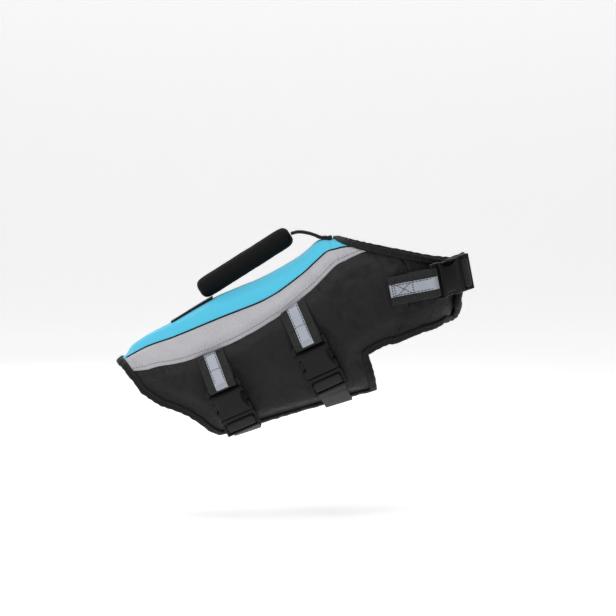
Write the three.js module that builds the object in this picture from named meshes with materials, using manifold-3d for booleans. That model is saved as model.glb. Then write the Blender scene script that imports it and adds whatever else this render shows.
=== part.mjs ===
// Dog life jacket in the form it has when worn: a foam-filled saddle with a padded carry handle, two girth
// straps and a neck strap with side-release buckles, a belly wrap and two chest flaps that lap in front.
// Millimetres. +X points to the neck end, +Y to the left side and +Z up. The origin is the inner face of the
// back panel on the spine line, which is the line that the jacket hangs from.
import * as THREE from 'three';
import { mergeVertices } from 'three/addons/utils/BufferGeometryUtils.js';
import Module from 'manifold-3d';

const wasm = await Module();
wasm.setup();

// Driving dimensions.
const WEBBING_WIDTH = 25;
const WEBBING_THICK = 1.6;
const TAPE_WIDTH = 11;
const TAPE_THICK = 0.5;
const TAPE_CLEAR = 0.1;
const GAP = 0.3;
const EDGE_THICK = 2.4;
const FOAM_THICK = 6;
const BAND_THICK = 5.4;
const FLAP_CROWN = 3;
const WRAP_THICK = 2.2;
const FOAM_RISE = 13;
const BINDING_COVER = 5.5;
const BINDING_THICK = 0.8;
const BINDING_CLEAR = 0.7;
const BINDING_MARGIN = BINDING_COVER + 1.6;
const SEAM_HALF_GAP = 0.3;
const RING_ROUNDNESS = 2.25;
const PIPING_RADIUS = 0.6;
const PIPING_HALF_SEAM = PIPING_RADIUS + 0.25;

// Sections of the worn garment's inner face, from the tail to the neck. Each is a closed ring through its
// back point and its belly point. halfWidth is half the ring's width. backHalf and saddleHalf are the girth
// distances from the spine line to the lower edge of the back panel and of the reflective band.
const SECTIONS = [
  {
    name: 'tail', backX: -103, backZ: -61.5, bellyX: -68.9, bellyZ: -135.3,
    halfWidth: 33, backHalf: 9, saddleHalf: 30,
  },
  {
    name: 'rump', backX: -91.4, backZ: -52.9, bellyX: -54.1, bellyZ: -133.3,
    halfWidth: 38.5, backHalf: 15, saddleHalf: 39,
  },
  {
    name: 'loin', backX: -76.2, backZ: -42, bellyX: -34.4, bellyZ: -129,
    halfWidth: 42.5, backHalf: 21.5, saddleHalf: 46.8,
  },
  {
    name: 'rear strap', backX: -52.6, backZ: -29.4, bellyX: -8.4, bellyZ: -121.4,
    halfWidth: 46, backHalf: 29.5, saddleHalf: 57,
  },
  {
    name: 'middle', backX: -13.9, backZ: -7.4, bellyX: 34, bellyZ: -107.8,
    halfWidth: 49, backHalf: 38, saddleHalf: 64.5,
  },
  {
    name: 'front strap', backX: 26.6, backZ: 9.8, bellyX: 78.3, bellyZ: -94.4,
    halfWidth: 52, backHalf: 40, saddleHalf: 61,
  },
  {
    name: 'rib', backX: 56.3, backZ: 26.2, bellyX: 110.7, bellyZ: -84.8,
    halfWidth: 54.5, backHalf: 35.5, saddleHalf: 56,
  },
  {
    name: 'leg opening', backX: 69.8, backZ: 35.7, bellyX: 126.9, bellyZ: -80.5,
    halfWidth: 55, backHalf: 32, saddleHalf: 53,
  },
  {
    name: 'brisket', backX: 79.7, backZ: 44.8, bellyX: 154.4, bellyZ: -68.7,
    halfWidth: 54, backHalf: 31, saddleHalf: 50,
  },
  {
    name: 'shoulder', backX: 86, backZ: 47.2, bellyX: 178.7, bellyZ: -46.2,
    halfWidth: 52, backHalf: 32, saddleHalf: 49,
  },
  {
    name: 'chest', backX: 89.1, backZ: 48.3, bellyX: 190, bellyZ: -24.6,
    halfWidth: 50, backHalf: 33.5, saddleHalf: 49.5,
  },
  {
    name: 'breast', backX: 91.6, backZ: 48.8, bellyX: 196.6, bellyZ: -3,
    halfWidth: 48, backHalf: 37, saddleHalf: 51,
  },
  {
    name: 'throat', backX: 93.6, backZ: 49, bellyX: 197.4, bellyZ: 15,
    halfWidth: 46, backHalf: 38.5, saddleHalf: 54,
  },
  {
    name: 'neck', backX: 95.6, backZ: 49.2, bellyX: 194.6, bellyZ: 29.5,
    halfWidth: 44.5, backHalf: 40, saddleHalf: 57,
  },
];
const NECK = SECTIONS.length - 1;
const LEG = 7;

// The tail edge runs back to front as it goes down: its station at each girth.
const TAIL_EDGE = [
  { girth: 0, station: 0 },
  { girth: 12, station: 0.1 },
  { girth: 20, station: 0.28 },
  { girth: 30, station: 0.45 },
  { girth: 42, station: 0.65 },
];
const TAIL_REACH = 1.6;
const TAIL_LOW_GIRTH = 38;
// The flank panel's rear edge goes on from it, down to the belly corner.
const REAR_EDGE = [
  { station: 0.583, girth: TAIL_LOW_GIRTH },
  { station: 0.85, girth: 55 },
  { station: 1.15, girth: 65 },
  { station: 1.45, girth: 75 },
  { station: 1.9, girth: 86 },
  { station: 2.3, girth: 98 },
  { station: 2.55, girth: 108 },
  { station: 2.7, girth: 119 },
  { station: 2.9, girth: 131 },
];
// Its upper leg-opening edge, from the opening's rear corner to the chest seam.
const LEG_CORNER_GIRTH = 131;
const LEG_CORNER_SHIFT = 0.28;
const LEG_TOP_GIRTH = 53;
const FRONT_TOP_FROM = 53.25;
const FRONT_TOP_TO = 57.25;
const LEG_EDGE = [
  { station: LEG + LEG_CORNER_SHIFT, girth: LEG_CORNER_GIRTH },
  { station: 7.7, girth: 131.8 },
  { station: 8.1, girth: 133.5 },
];
const FLANK_DROP = 22.2;
const WRAP_TUCK = 20;
const TUCK_LIFT = WRAP_THICK + GAP + BINDING_THICK + BINDING_CLEAR + 0.2;
const TUCK_RAMP = 16;
// The chest seam runs from the neckline down to the leg edge. The flaps' lower edge goes on to the lap.
const SEAM_NECK_GIRTH = 76;
const CHEST_LOWER_EDGE = [
  { station: 8.1, girth: 133.5 },
  { station: 9.15, girth: 143 },
  { station: 10, girth: 159 },
  { station: 10.25, girth: 181 },
];
const LAP_RIGHT = 15;
const LAP_LEFT = 20;
const LAP_RAMP = 28;
const LAP_EARLY = 4;
const LAP_LIFT = EDGE_THICK + 2 * (BINDING_THICK + BINDING_CLEAR) + 0.5;

// The largest folds, each a soft trough or ridge between two places on the cloth.
const FOLDS = [
  { side: -1, fromStation: 10.3, fromGirth: 96, toStation: 8.7, toGirth: 132, width: 7, depth: -1.3 },
  { side: -1, fromStation: 7.2, fromGirth: 122, toStation: 6.3, toGirth: 92, width: 8, depth: 1.2 },
  { side: -1, fromStation: 4.2, fromGirth: 118, toStation: 4.6, toGirth: 88, width: 9, depth: -1 },
  { side: -1, fromStation: 2.3, fromGirth: 104, toStation: 2.9, toGirth: 84, width: 6, depth: 1 },
  { side: 1, fromStation: 10.1, fromGirth: 98, toStation: 8.8, toGirth: 130, width: 8, depth: -1.1 },
  { side: 1, fromStation: 6.9, fromGirth: 118, toStation: 6.1, toGirth: 88, width: 7, depth: 1.1 },
  { side: 1, fromStation: 4.4, fromGirth: 120, toStation: 4.2, toGirth: 92, width: 10, depth: -1 },
];

// Straps across the body: station of each, and girths of the bar tack and the buckle's middle.
const GIRTH_STRAPS = [
  { name: 'rear', station: 3.5, tack: 77, buckle: 108 },
  { name: 'front', station: 5.42, tack: 82, buckle: 113 },
];
const FAR_TAPE = 62;
// The neck strap's middle line on the right side, and the same places along it.
const NECK_STRAP = {
  path: [
    { station: 9.45, girth: 95 },
    { station: 10.5, girth: 104 },
    { station: 11.5, girth: 117.5 },
    { station: 12.3, girth: 138 },
  ],
  frontStation: 12.6,
  middleX: 150,
  middleZ: 10,
  tack: 104,
  buckle: 126,
};
// Handle grip's axis ends, its half sizes, and the webbing's places before and behind it.
const HANDLE = {
  rearX: -30.2,
  rearZ: 3.2,
  frontX: 50.9,
  frontZ: 54.6,
  halfHeight: 9.5,
  halfWidth: 11,
  ends: [[0, 0.42], [1.2, 0.7], [3.2, 0.88], [7, 0.98], [14, 1]],
  rearPatch: [3, 3.2, 3.4, 3.6, 3.8, 3.95],
  frontRise: [[58.3, 56.6], [67, 55.6], [74, 53.4]],
  frontPatch: [8.25, 8.6, 9, 9.4, 9.8, 10.15],
  frontThick: 2.8,
};
const GRIP_SIDES = 16;

// Side-release buckle for 25 mm webbing, in its own frame: x from the fixed bar to the ladder end, z out.
const BUCKLE = {
  halfLength: 25,
  halfWidth: 16,
  frameHalfThick: 1.8,
  frameEnd: -15,
  barWidth: 2.8,
  slotLength: 4.2,
  slotHalfWidth: 13.3,
  ladderBar: 3,
  shellStart: -17,
  shellHalfThick: 4.2,
  shellRamp: 3,
  shellBevel: 1.6,
  femaleEnd: 7,
  mouthBevel: 0.8,
  cavityStart: -13,
  cavityHalfWidth: 13.4,
  cavityHalfThick: 2.7,
  notchFrom: -12,
  notchTo: -2,
  notchInner: 12,
  shoulderLength: 4,
  shoulderHalfThick: 3.4,
  shoulderInset: 0.4,
  shoulderBevel: 1.6,
  prongHalfThick: 2.2,
  tongueHalfWidth: 1.6,
  tongueEnd: -7,
  armInner: 9.2,
  armOuter: 11.7,
  earOuter: 14.9,
  earClear: 0.6,
};
const CUT_PAST = 2;

const smooth = (t) => {
  const x = Math.min(1, Math.max(0, t));
  return x * x * (3 - 2 * x);
};
const lerp = (a, b, t) => a + (b - a) * t;

// Smooth value of a column of SECTIONS at a station.
function column(key, station) {
  const last = SECTIONS.length - 1;
  const i = Math.min(last - 1, Math.max(0, Math.floor(station)));
  const t = station - i;
  const at = (k) => {
    if (k < 0) return 2 * SECTIONS[0][key] - SECTIONS[1][key];
    if (k > last) return 2 * SECTIONS[last][key] - SECTIONS[last - 1][key];
    return SECTIONS[k][key];
  };
  const [p0, p1, p2, p3] = [at(i - 1), at(i), at(i + 1), at(i + 2)];
  const linear = p2 - p0;
  const square = 2 * p0 - 5 * p1 + 4 * p2 - p3;
  const cube = 3 * p1 - p0 - 3 * p2 + p3;
  return 0.5 * (2 * p1 + linear * t + square * t * t + cube * t * t * t);
}

// Straight-line interpolation of a short outline table.
function along(table, from, to, value) {
  for (let k = 1; k < table.length; k += 1) {
    if (value <= table[k][from] || k === table.length - 1) {
      const [a, b] = [table[k - 1], table[k]];
      return lerp(a[to], b[to], (value - a[from]) / (b[from] - a[from]));
    }
  }
  return table[0][to];
}

// Carries a station forward near the slanted tail edge.
function slanted(station, girth) {
  const carried = along(TAIL_EDGE, 'girth', 'station', Math.min(Math.abs(girth), TAIL_EDGE.at(-1).girth));
  return station + carried * Math.max(0, 1 - station / TAIL_REACH);
}

// One ring: its samples from the spine line (0) to the belly line, with the girth walked so far.
const RING_STEPS = 180;
const rings = new Map();
function ring(station) {
  const key = station.toFixed(5);
  if (rings.has(key)) return rings.get(key);
  const back = new THREE.Vector3(column('backX', station), 0, column('backZ', station));
  const belly = new THREE.Vector3(column('bellyX', station), 0, column('bellyZ', station));
  const halfWidth = column('halfWidth', station);
  const middle = back.clone().add(belly).multiplyScalar(0.5);
  const up = back.clone().sub(middle);
  const halfDepth = up.length();
  up.normalize();
  const points = [];
  const girths = [0];
  for (let k = 0; k <= RING_STEPS; k += 1) {
    const angle = (Math.PI * k) / RING_STEPS;
    const c = Math.cos(angle);
    const s = Math.sin(angle);
    const sum = Math.abs(c / halfDepth) ** RING_ROUNDNESS + Math.abs(s / halfWidth) ** RING_ROUNDNESS;
    const radius = sum ** (-1 / RING_ROUNDNESS);
    const point = middle.clone().addScaledVector(up, radius * c);
    point.y = radius * s;
    if (k > 0) girths.push(girths[k - 1] + point.distanceTo(points[k - 1]));
    points.push(point);
  }
  const made = { points, girths, half: girths[RING_STEPS] };
  rings.set(key, made);
  return made;
}
const halfGirth = (station) => ring(station).half;

// The inner face at a station and a signed girth distance: left is positive, and past the belly line it goes
// on up the other side.
function facePoint(station, girth) {
  const { points, girths, half } = ring(station);
  const past = Math.abs(girth) > half;
  const walked = past ? 2 * half - Math.abs(girth) : Math.abs(girth);
  let low = 0;
  let high = RING_STEPS;
  while (high - low > 1) {
    const between = (low + high) >> 1;
    if (girths[between] <= walked) low = between;
    else high = between;
  }
  const t = (walked - girths[low]) / (girths[high] - girths[low]);
  const point = points[low].clone().lerp(points[high], t);
  if (girth < 0 !== past) point.y = -point.y;
  return point;
}

const NORMAL_REACH = 0.05;
function faceNormal(station, girth) {
  const middle = Math.min(NECK - NORMAL_REACH, Math.max(NORMAL_REACH, station));
  const ahead = facePoint(middle + NORMAL_REACH, girth);
  const behind = facePoint(middle - NORMAL_REACH, girth);
  const across = facePoint(station, girth + 1).sub(facePoint(station, girth - 1));
  return ahead.sub(behind).cross(across).normalize();
}

// A place on the cloth: a point at a height above the inner face, with that face's normal.
function place(station, girth, height) {
  const normal = faceNormal(station, girth);
  const point = facePoint(station, girth).addScaledVector(normal, height);
  return { point, normal, station, girth, height };
}

function distanceToSegment(point, a, b) {
  const edge = b.clone().sub(a);
  const share = point.clone().sub(a).dot(edge) / Math.max(1e-9, edge.lengthSq());
  const t = THREE.MathUtils.clamp(share, 0, 1);
  return point.distanceTo(a.clone().addScaledVector(edge, t));
}

function foldHeight(station, girth) {
  const side = girth < 0 ? -1 : 1;
  const point = facePoint(station, girth);
  let height = 0;
  for (const fold of FOLDS) {
    if (fold.side !== side) continue;
    const from = facePoint(fold.fromStation, side * fold.fromGirth);
    const to = facePoint(fold.toStation, side * fold.toGirth);
    const away = distanceToSegment(point, from, to);
    height += fold.depth * Math.exp(-((away / fold.width) ** 2));
  }
  return height;
}

// Collects quads and triangles, and gives a closed geometry.
class Skin {
  constructor() {
    this.points = [];
    this.faces = [];
  }

  add(point) {
    this.points.push(point.x, point.y, point.z);
    return this.points.length / 3 - 1;
  }

  quad(a, b, c, d) {
    this.faces.push(a, b, c, a, c, d);
  }

  geometry() {
    const made = new THREE.BufferGeometry();
    made.setAttribute('position', new THREE.Float32BufferAttribute(this.points, 3));
    made.setIndex(this.faces);
    return outward(made);
  }
}

// Turns every face round when the closed geometry encloses a negative volume.
function outward(geometry) {
  const position = geometry.getAttribute('position');
  const index = geometry.index.array;
  const [a, b, c] = [new THREE.Vector3(), new THREE.Vector3(), new THREE.Vector3()];
  let volume = 0;
  for (let k = 0; k < index.length; k += 3) {
    a.fromBufferAttribute(position, index[k]);
    b.fromBufferAttribute(position, index[k + 1]);
    c.fromBufferAttribute(position, index[k + 2]);
    volume += a.dot(b.cross(c));
  }
  if (volume < 0) {
    for (let k = 0; k < index.length; k += 3) [index[k + 1], index[k + 2]] = [index[k + 2], index[k + 1]];
  }
  geometry.computeVertexNormals();
  return geometry;
}

// A cut piece of cloth: a grid of places with some cells left out, a plain inner face and a padded outer one.
class Panel {
  constructor({
    columns,
    rows,
    at,
    crown,
    keep = () => true,
    isBound = () => false,
    base = () => 0,
    edge = EDGE_THICK,
    rise = FOAM_RISE,
    folds = true,
  }) {
    Object.assign(this, { columns, rows, at, keep, base, crown, edge, rise, folds });
    this.seams = [];
    this.bounds = [];
    this.eachBorder((i, j, i2, j2) => {
      const ends = [facePoint(...at(i, j)), facePoint(...at(i2, j2))];
      (isBound(i, j, i2, j2) ? this.bounds : this.seams).push(ends);
    });
  }

  has(i, j) {
    return i >= 0 && j >= 0 && i < this.columns && j < this.rows && this.keep(i, j);
  }

  // Calls back with each edge of a kept cell that has no kept neighbour, in the cell's own turning sense.
  eachBorder(call) {
    for (let i = 0; i < this.columns; i += 1) {
      for (let j = 0; j < this.rows; j += 1) {
        if (!this.has(i, j)) continue;
        if (!this.has(i, j - 1)) call(i, j, i + 1, j);
        if (!this.has(i + 1, j)) call(i + 1, j, i + 1, j + 1);
        if (!this.has(i, j + 1)) call(i + 1, j + 1, i, j + 1);
        if (!this.has(i - 1, j)) call(i, j + 1, i, j);
      }
    }
  }

  thickness(station, girth) {
    const point = facePoint(station, girth);
    const nearest = (list) => Math.min(1e9, ...list.map(([a, b]) => distanceToSegment(point, a, b)));
    const fromSeam = nearest(this.seams);
    const fromBound = nearest(this.bounds) - BINDING_MARGIN;
    const fill = smooth(fromSeam / this.rise) * smooth(fromBound / this.rise);
    const fold = this.folds ? foldHeight(station, girth) * fill : 0;
    return this.edge + (this.crown - this.edge) * fill + fold;
  }

  outer(station, girth) {
    return this.base(station, girth) + this.thickness(station, girth);
  }

  geometry() {
    const skin = new Skin();
    const inner = new Map();
    const outer = new Map();
    const corner = (i, j) => {
      const key = `${i},${j}`;
      if (!inner.has(key)) {
        const [station, girth] = this.at(i, j);
        inner.set(key, skin.add(place(station, girth, this.base(station, girth)).point));
        outer.set(key, skin.add(place(station, girth, this.outer(station, girth)).point));
      }
      return [inner.get(key), outer.get(key)];
    };
    for (let i = 0; i < this.columns; i += 1) {
      for (let j = 0; j < this.rows; j += 1) {
        if (!this.has(i, j)) continue;
        const around = [corner(i, j), corner(i + 1, j), corner(i + 1, j + 1), corner(i, j + 1)];
        skin.quad(...around.map((pair) => pair[1]));
        skin.quad(...around.map((pair) => pair[0]).reverse());
      }
    }
    this.eachBorder((i, j, i2, j2) => {
      const [innerFrom, outerFrom] = corner(i, j);
      const [innerTo, outerTo] = corner(i2, j2);
      skin.quad(outerTo, outerFrom, innerFrom, innerTo);
    });
    return skin.geometry();
  }
}

// A point of the inner face reached by going a distance over the face, in short steps.
const OVER_STEPS = 4;
const STATION_PROBE = 0.02;
const GIRTH_PROBE = 0.5;
function stepOver(station, girth, direction, distance) {
  let [u, v] = [station, girth];
  for (let k = 0; k < OVER_STEPS; k += 1) {
    const here = facePoint(u, v);
    const alongU = facePoint(u + STATION_PROBE, v).sub(here).divideScalar(STATION_PROBE);
    const alongV = facePoint(u, v + GIRTH_PROBE).sub(here).divideScalar(GIRTH_PROBE);
    const [a, b, c] = [alongU.dot(alongU), alongU.dot(alongV), alongV.dot(alongV)];
    const [p, q] = [alongU.dot(direction), alongV.dot(direction)];
    const size = (distance / OVER_STEPS) / (a * c - b * b);
    u += (p * c - q * b) * size;
    v += (q * a - p * b) * size;
  }
  return [u, v];
}

// Joins loops of equal length, each a list of vectors, into one closed geometry with both ends capped.
function loft(loops) {
  const skin = new Skin();
  const rows = loops.map((loop) => loop.map((point) => skin.add(point)));
  const size = rows[0].length;
  for (let k = 0; k + 1 < rows.length; k += 1) {
    for (let m = 0; m < size; m += 1) {
      const n = (m + 1) % size;
      skin.quad(rows[k][m], rows[k][n], rows[k + 1][n], rows[k + 1][m]);
    }
  }
  for (const [row, turned] of [[rows[0], true], [rows.at(-1), false]]) {
    for (let m = 1; m + 1 < size; m += 1) {
      const face = [row[0], row[m], row[m + 1]];
      skin.faces.push(...(turned ? face.reverse() : face));
    }
  }
  return skin.geometry();
}

// Edge tape folded over the rim of the cloth. Spots run along the rim with the cloth on their left.
function edging(spots) {
  const points = spots.map((s) => facePoint(s.station, s.girth));
  const inside = EDGE_THICK / 2 + BINDING_CLEAR;
  const outside = inside + BINDING_THICK;
  const skin = new Skin();
  const rows = spots.map((spot, k) => {
    const into = points[k].clone().sub(points[Math.max(0, k - 1)]);
    const away = points[Math.min(points.length - 1, k + 1)].clone().sub(points[k]);
    if (k === 0) into.copy(away);
    if (k === points.length - 1) away.copy(into);
    into.normalize();
    away.normalize();
    const tangent = into.clone().add(away).normalize();
    const inward = tangent.clone().cross(faceNormal(spot.station, spot.girth)).normalize();
    const outerCorner = away.clone().sub(into).dot(inward) > 0;
    const mitre = outerCorner ? Math.min(1.5, 1 / Math.max(0.1, tangent.dot(into))) : 1;
    const corner = (reach, height) => {
      const [u, v] = stepOver(spot.station, spot.girth, inward, reach * mitre);
      return skin.add(place(u, v, spot.base(u, v) + EDGE_THICK / 2 + height).point);
    };
    return [
      corner(BINDING_COVER, inside),
      corner(-GAP, inside),
      corner(-GAP, -inside),
      corner(BINDING_COVER, -inside),
      corner(BINDING_COVER, -outside),
      corner(-GAP - BINDING_THICK, -outside),
      corner(-GAP - BINDING_THICK, outside),
      corner(BINDING_COVER, outside),
    ];
  });
  for (let k = 0; k + 1 < rows.length; k += 1) {
    for (let m = 0; m < 8; m += 1) {
      const n = (m + 1) % 8;
      skin.quad(rows[k][m], rows[k][n], rows[k + 1][n], rows[k + 1][m]);
    }
  }
  for (const [row, turned] of [[rows[0], true], [rows.at(-1), false]]) {
    for (const [a, b, c, d] of [[0, 1, 6, 7], [1, 2, 5, 6], [2, 3, 4, 5]]) {
      const quad = [row[a], row[b], row[c], row[d]];
      skin.quad(...(turned ? quad.reverse() : quad));
    }
  }
  return skin.geometry();
}

// Drops a spot that all but repeats the one before it.
const NEAREST_SPOTS = 1.4;
function joined(spots) {
  const kept = [];
  let last = null;
  for (const spot of spots) {
    const point = facePoint(spot.station, spot.girth);
    if (last && point.distanceTo(last) < NEAREST_SPOTS) continue;
    kept.push(spot);
    last = point;
  }
  return kept;
}

// Webbing swept along path vertices, each a point with the direction of its width. lift moves it out.
function ribbon(path, width, thick, lift = 0) {
  const loops = path.map(({ point, wide }, k) => {
    const into = point.clone().sub(path[Math.max(0, k - 1)].point);
    const away = path[Math.min(path.length - 1, k + 1)].point.clone().sub(point);
    if (k === 0) into.copy(away);
    if (k === path.length - 1) away.copy(into);
    const tangent = into.normalize().add(away.normalize()).normalize();
    const mitre = Math.min(1.6, 1 / Math.max(0.2, tangent.dot(into)));
    const out = tangent.clone().cross(wide).normalize();
    const across = out.clone().cross(tangent).normalize();
    const at = (s, n) => point.clone().addScaledVector(across, s).addScaledVector(out, n * mitre);
    const [low, high] = [lift - thick / 2, lift + thick / 2];
    return [at(-width / 2, low), at(width / 2, low), at(width / 2, high), at(-width / 2, high)];
  });
  return loft(loops);
}

// The part of a path between two distances walked along it.
function slicePath(path, from, to) {
  const walked = [0];
  for (let k = 1; k < path.length; k += 1) {
    walked.push(walked[k - 1] + path[k].point.distanceTo(path[k - 1].point));
  }
  const total = walked.at(-1);
  const start = from < 0 ? total + from : from;
  const end = to <= 0 ? total + to : to;
  const at = (distance) => {
    let k = 1;
    while (k < path.length - 1 && walked[k] < distance) k += 1;
    const t = (distance - walked[k - 1]) / (walked[k] - walked[k - 1]);
    return {
      point: path[k - 1].point.clone().lerp(path[k].point, t),
      wide: path[k - 1].wide.clone().lerp(path[k].wide, t).normalize(),
    };
  };
  const middle = path.filter((_, k) => walked[k] > start + 0.5 && walked[k] < end - 0.5);
  return [at(start), ...middle, at(end)];
}

const materials = {
  blue: new THREE.MeshStandardMaterial({ color: 0x3fb8dc, roughness: 0.75, metalness: 0 }),
  reflective: new THREE.MeshStandardMaterial({ color: 0xb9b8bd, roughness: 0.5, metalness: 0.1 }),
  black: new THREE.MeshStandardMaterial({ color: 0x202123, roughness: 0.85, metalness: 0 }),
  webbing: new THREE.MeshStandardMaterial({ color: 0x1a1a1c, roughness: 0.7, metalness: 0 }),
  plastic: new THREE.MeshStandardMaterial({ color: 0x17181a, roughness: 0.4, metalness: 0 }),
  grip: new THREE.MeshStandardMaterial({ color: 0x141415, roughness: 0.9, metalness: 0 }),
};
const jacket = new THREE.Group();
jacket.name = 'dog_life_jacket';
function put(name, geometry, material) {
  const mesh = new THREE.Mesh(geometry, material);
  mesh.name = name;
  jacket.add(mesh);
  return mesh;
}

// Stations of the grid's columns, closer together where the outline turns.
const SADDLE_STATIONS = [
  0, 0.45, 1, 1.6, 2.2, 2.8, 3.3, 3.8, 4.3, 4.8, 5.3, 5.8, 6.4, LEG, 7.7, 8.6, 9.1, 9.8, 11.3, NECK,
];

// The blue panel over the spine.
const BACK_SHARES = [-1, -0.9, -0.72, -0.48, -0.24, 0, 0.24, 0.48, 0.72, 0.9, 1];
function backPanel() {
  return new Panel({
    columns: SADDLE_STATIONS.length - 1,
    rows: BACK_SHARES.length - 1,
    at: (i, j) => {
      const station = SADDLE_STATIONS[i];
      const girth = BACK_SHARES[j] * (column('backHalf', station) - PIPING_HALF_SEAM);
      return [slanted(station, girth), girth];
    },
    isBound: (i, j, i2) => i === i2,
    crown: FOAM_THICK,
  });
}

// A reflective band beside the back panel.
const BAND_SHARES = [0, 0.14, 0.34, 0.6, 0.86, 1];
const BAND_RISE = 9;
function sideBand(side) {
  return new Panel({
    columns: SADDLE_STATIONS.length - 1,
    rows: BAND_SHARES.length - 1,
    at: (i, j) => {
      const station = SADDLE_STATIONS[i];
      const top = column('backHalf', station) + PIPING_HALF_SEAM;
      const low = column('saddleHalf', station) - SEAM_HALF_GAP;
      const girth = lerp(top, low, BAND_SHARES[j]);
      return [slanted(station, girth), side * girth];
    },
    isBound: (i, j, i2) => i === i2,
    crown: BAND_THICK,
    rise: BAND_RISE,
  });
}

const wrapLift = (station, girth) => {
  const start = halfGirth(station) - FLANK_DROP - WRAP_TUCK - TUCK_RAMP;
  const covered = smooth((station - 2) / 1.05) * (1 - smooth((station - LEG) / 0.8));
  return TUCK_LIFT * covered * smooth((Math.abs(girth) - start) / TUCK_RAMP);
};

// A black flank: deep behind the leg opening, and shallow between the opening and the neckline.
const FLANK_REAR = [
  0, 0.25, 0.5, 0.8, 1.2, 1.65, 2.05, 2.3, 2.45, 2.6, 2.75, 2.9, 3.3, 3.85, 4.4, 5, 5.6, 6.15, 6.6, LEG,
];
const FLANK_FRONT = [0.12, 0.3, 0.55, 0.8, 1];
const FLANK_SHARES = [0, 0.08, 0.18, 0.34, 0.52, 0.72, 0.92, 1];
const FLANK_LOWER_SHARES = [0, 0.25, 0.5, 0.78, 1];
const NECK_ROW = 2;
const FLANK_CORNER_ROW = 7;
const FLANK_ROWS = 11;
const flankLow = (station) => {
  if (station <= REAR_EDGE.at(-1).station) return along(REAR_EDGE, 'station', 'girth', station);
  return halfGirth(station) - FLANK_DROP;
};
// Station and girth of the chest seam, from the neckline (0) to the leg edge (1).
const chestSeam = (share) => [
  lerp(NECK, LEG_EDGE.at(-1).station, share),
  lerp(SEAM_NECK_GIRTH, LEG_EDGE.at(-1).girth, share),
];
function flank(side) {
  const shares = FLANK_SHARES;
  const lowerShares = FLANK_LOWER_SHARES;
  const rearColumns = FLANK_REAR.length - 1;
  const cornerShare = (LEG_CORNER_GIRTH - LEG_TOP_GIRTH) / (halfGirth(LEG) - FLANK_DROP - LEG_TOP_GIRTH);
  return new Panel({
    columns: rearColumns + FLANK_FRONT.length,
    rows: FLANK_ROWS,
    at: (i, j) => {
      if (i <= rearColumns) {
        const station = FLANK_REAR[i];
        const top = column('saddleHalf', station) + SEAM_HALF_GAP;
        const low = flankLow(slanted(station, i === 0 ? TAIL_LOW_GIRTH : TAIL_EDGE.at(-1).girth));
        const corner = lerp(top, low, cornerShare);
        const girth = j <= FLANK_CORNER_ROW
          ? lerp(top, corner, shares[j])
          : lerp(corner, low, lowerShares[j - FLANK_CORNER_ROW]);
        const shift = LEG_CORNER_SHIFT * Math.max(0, 1 + (i - rearColumns) / 2);
        const toCorner = j <= FLANK_CORNER_ROW ? shares[j] : 1 - lowerShares[j - FLANK_CORNER_ROW];
        return [slanted(station, girth) + shift * toCorner, side * girth];
      }
      // Past the leg corner, rows fan out to the neckline and then down the chest seam.
      const share = FLANK_FRONT[i - rearColumns - 1];
      const rowShare = shares[j];
      const start = lerp(column('saddleHalf', LEG) + SEAM_HALF_GAP, LEG_CORNER_GIRTH, rowShare);
      const neckShare = shares[NECK_ROW];
      const end = rowShare < neckShare
        ? [NECK, lerp(column('saddleHalf', NECK) + SEAM_HALF_GAP, SEAM_NECK_GIRTH, rowShare / neckShare)]
        : chestSeam((rowShare - neckShare) / (1 - neckShare));
      const station = lerp(LEG + LEG_CORNER_SHIFT * rowShare, end[0], share);
      const direct = lerp(start, end[1], share);
      const drawn = lerp(FRONT_TOP_FROM, FRONT_TOP_TO, share);
      const topPull = (column('saddleHalf', station) + SEAM_HALF_GAP - drawn) * (1 - rowShare) ** 3;
      const lowPull = rowShare === 1 ? along(LEG_EDGE, 'station', 'girth', station) - direct : 0;
      const seamGap = j === 0 ? 0 : SEAM_HALF_GAP * share;
      return [station, side * (direct + topPull + lowPull - seamGap)];
    },
    keep: (i, j) => i < rearColumns || j < FLANK_CORNER_ROW,
    isBound: (i, j, i2, j2) => {
      const lower = j >= FLANK_CORNER_ROW && j2 >= FLANK_CORNER_ROW;
      const tail = i === 0 && i2 === 0;
      const neck = i === i2 && i === rearColumns + FLANK_FRONT.length && Math.max(j, j2) <= NECK_ROW;
      return lower || tail || neck;
    },
    base: (station, girth) => wrapLift(station, girth),
    crown: FOAM_THICK,
  });
}

// The chest flaps lie over each other in front: the left one lifts off the right one's lap.
const lapLift = (station, girth) => {
  const start = halfGirth(station) - LAP_RIGHT - LAP_RAMP - LAP_EARLY;
  return LAP_LIFT * smooth((Math.abs(girth) - start) / LAP_RAMP);
};

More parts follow.
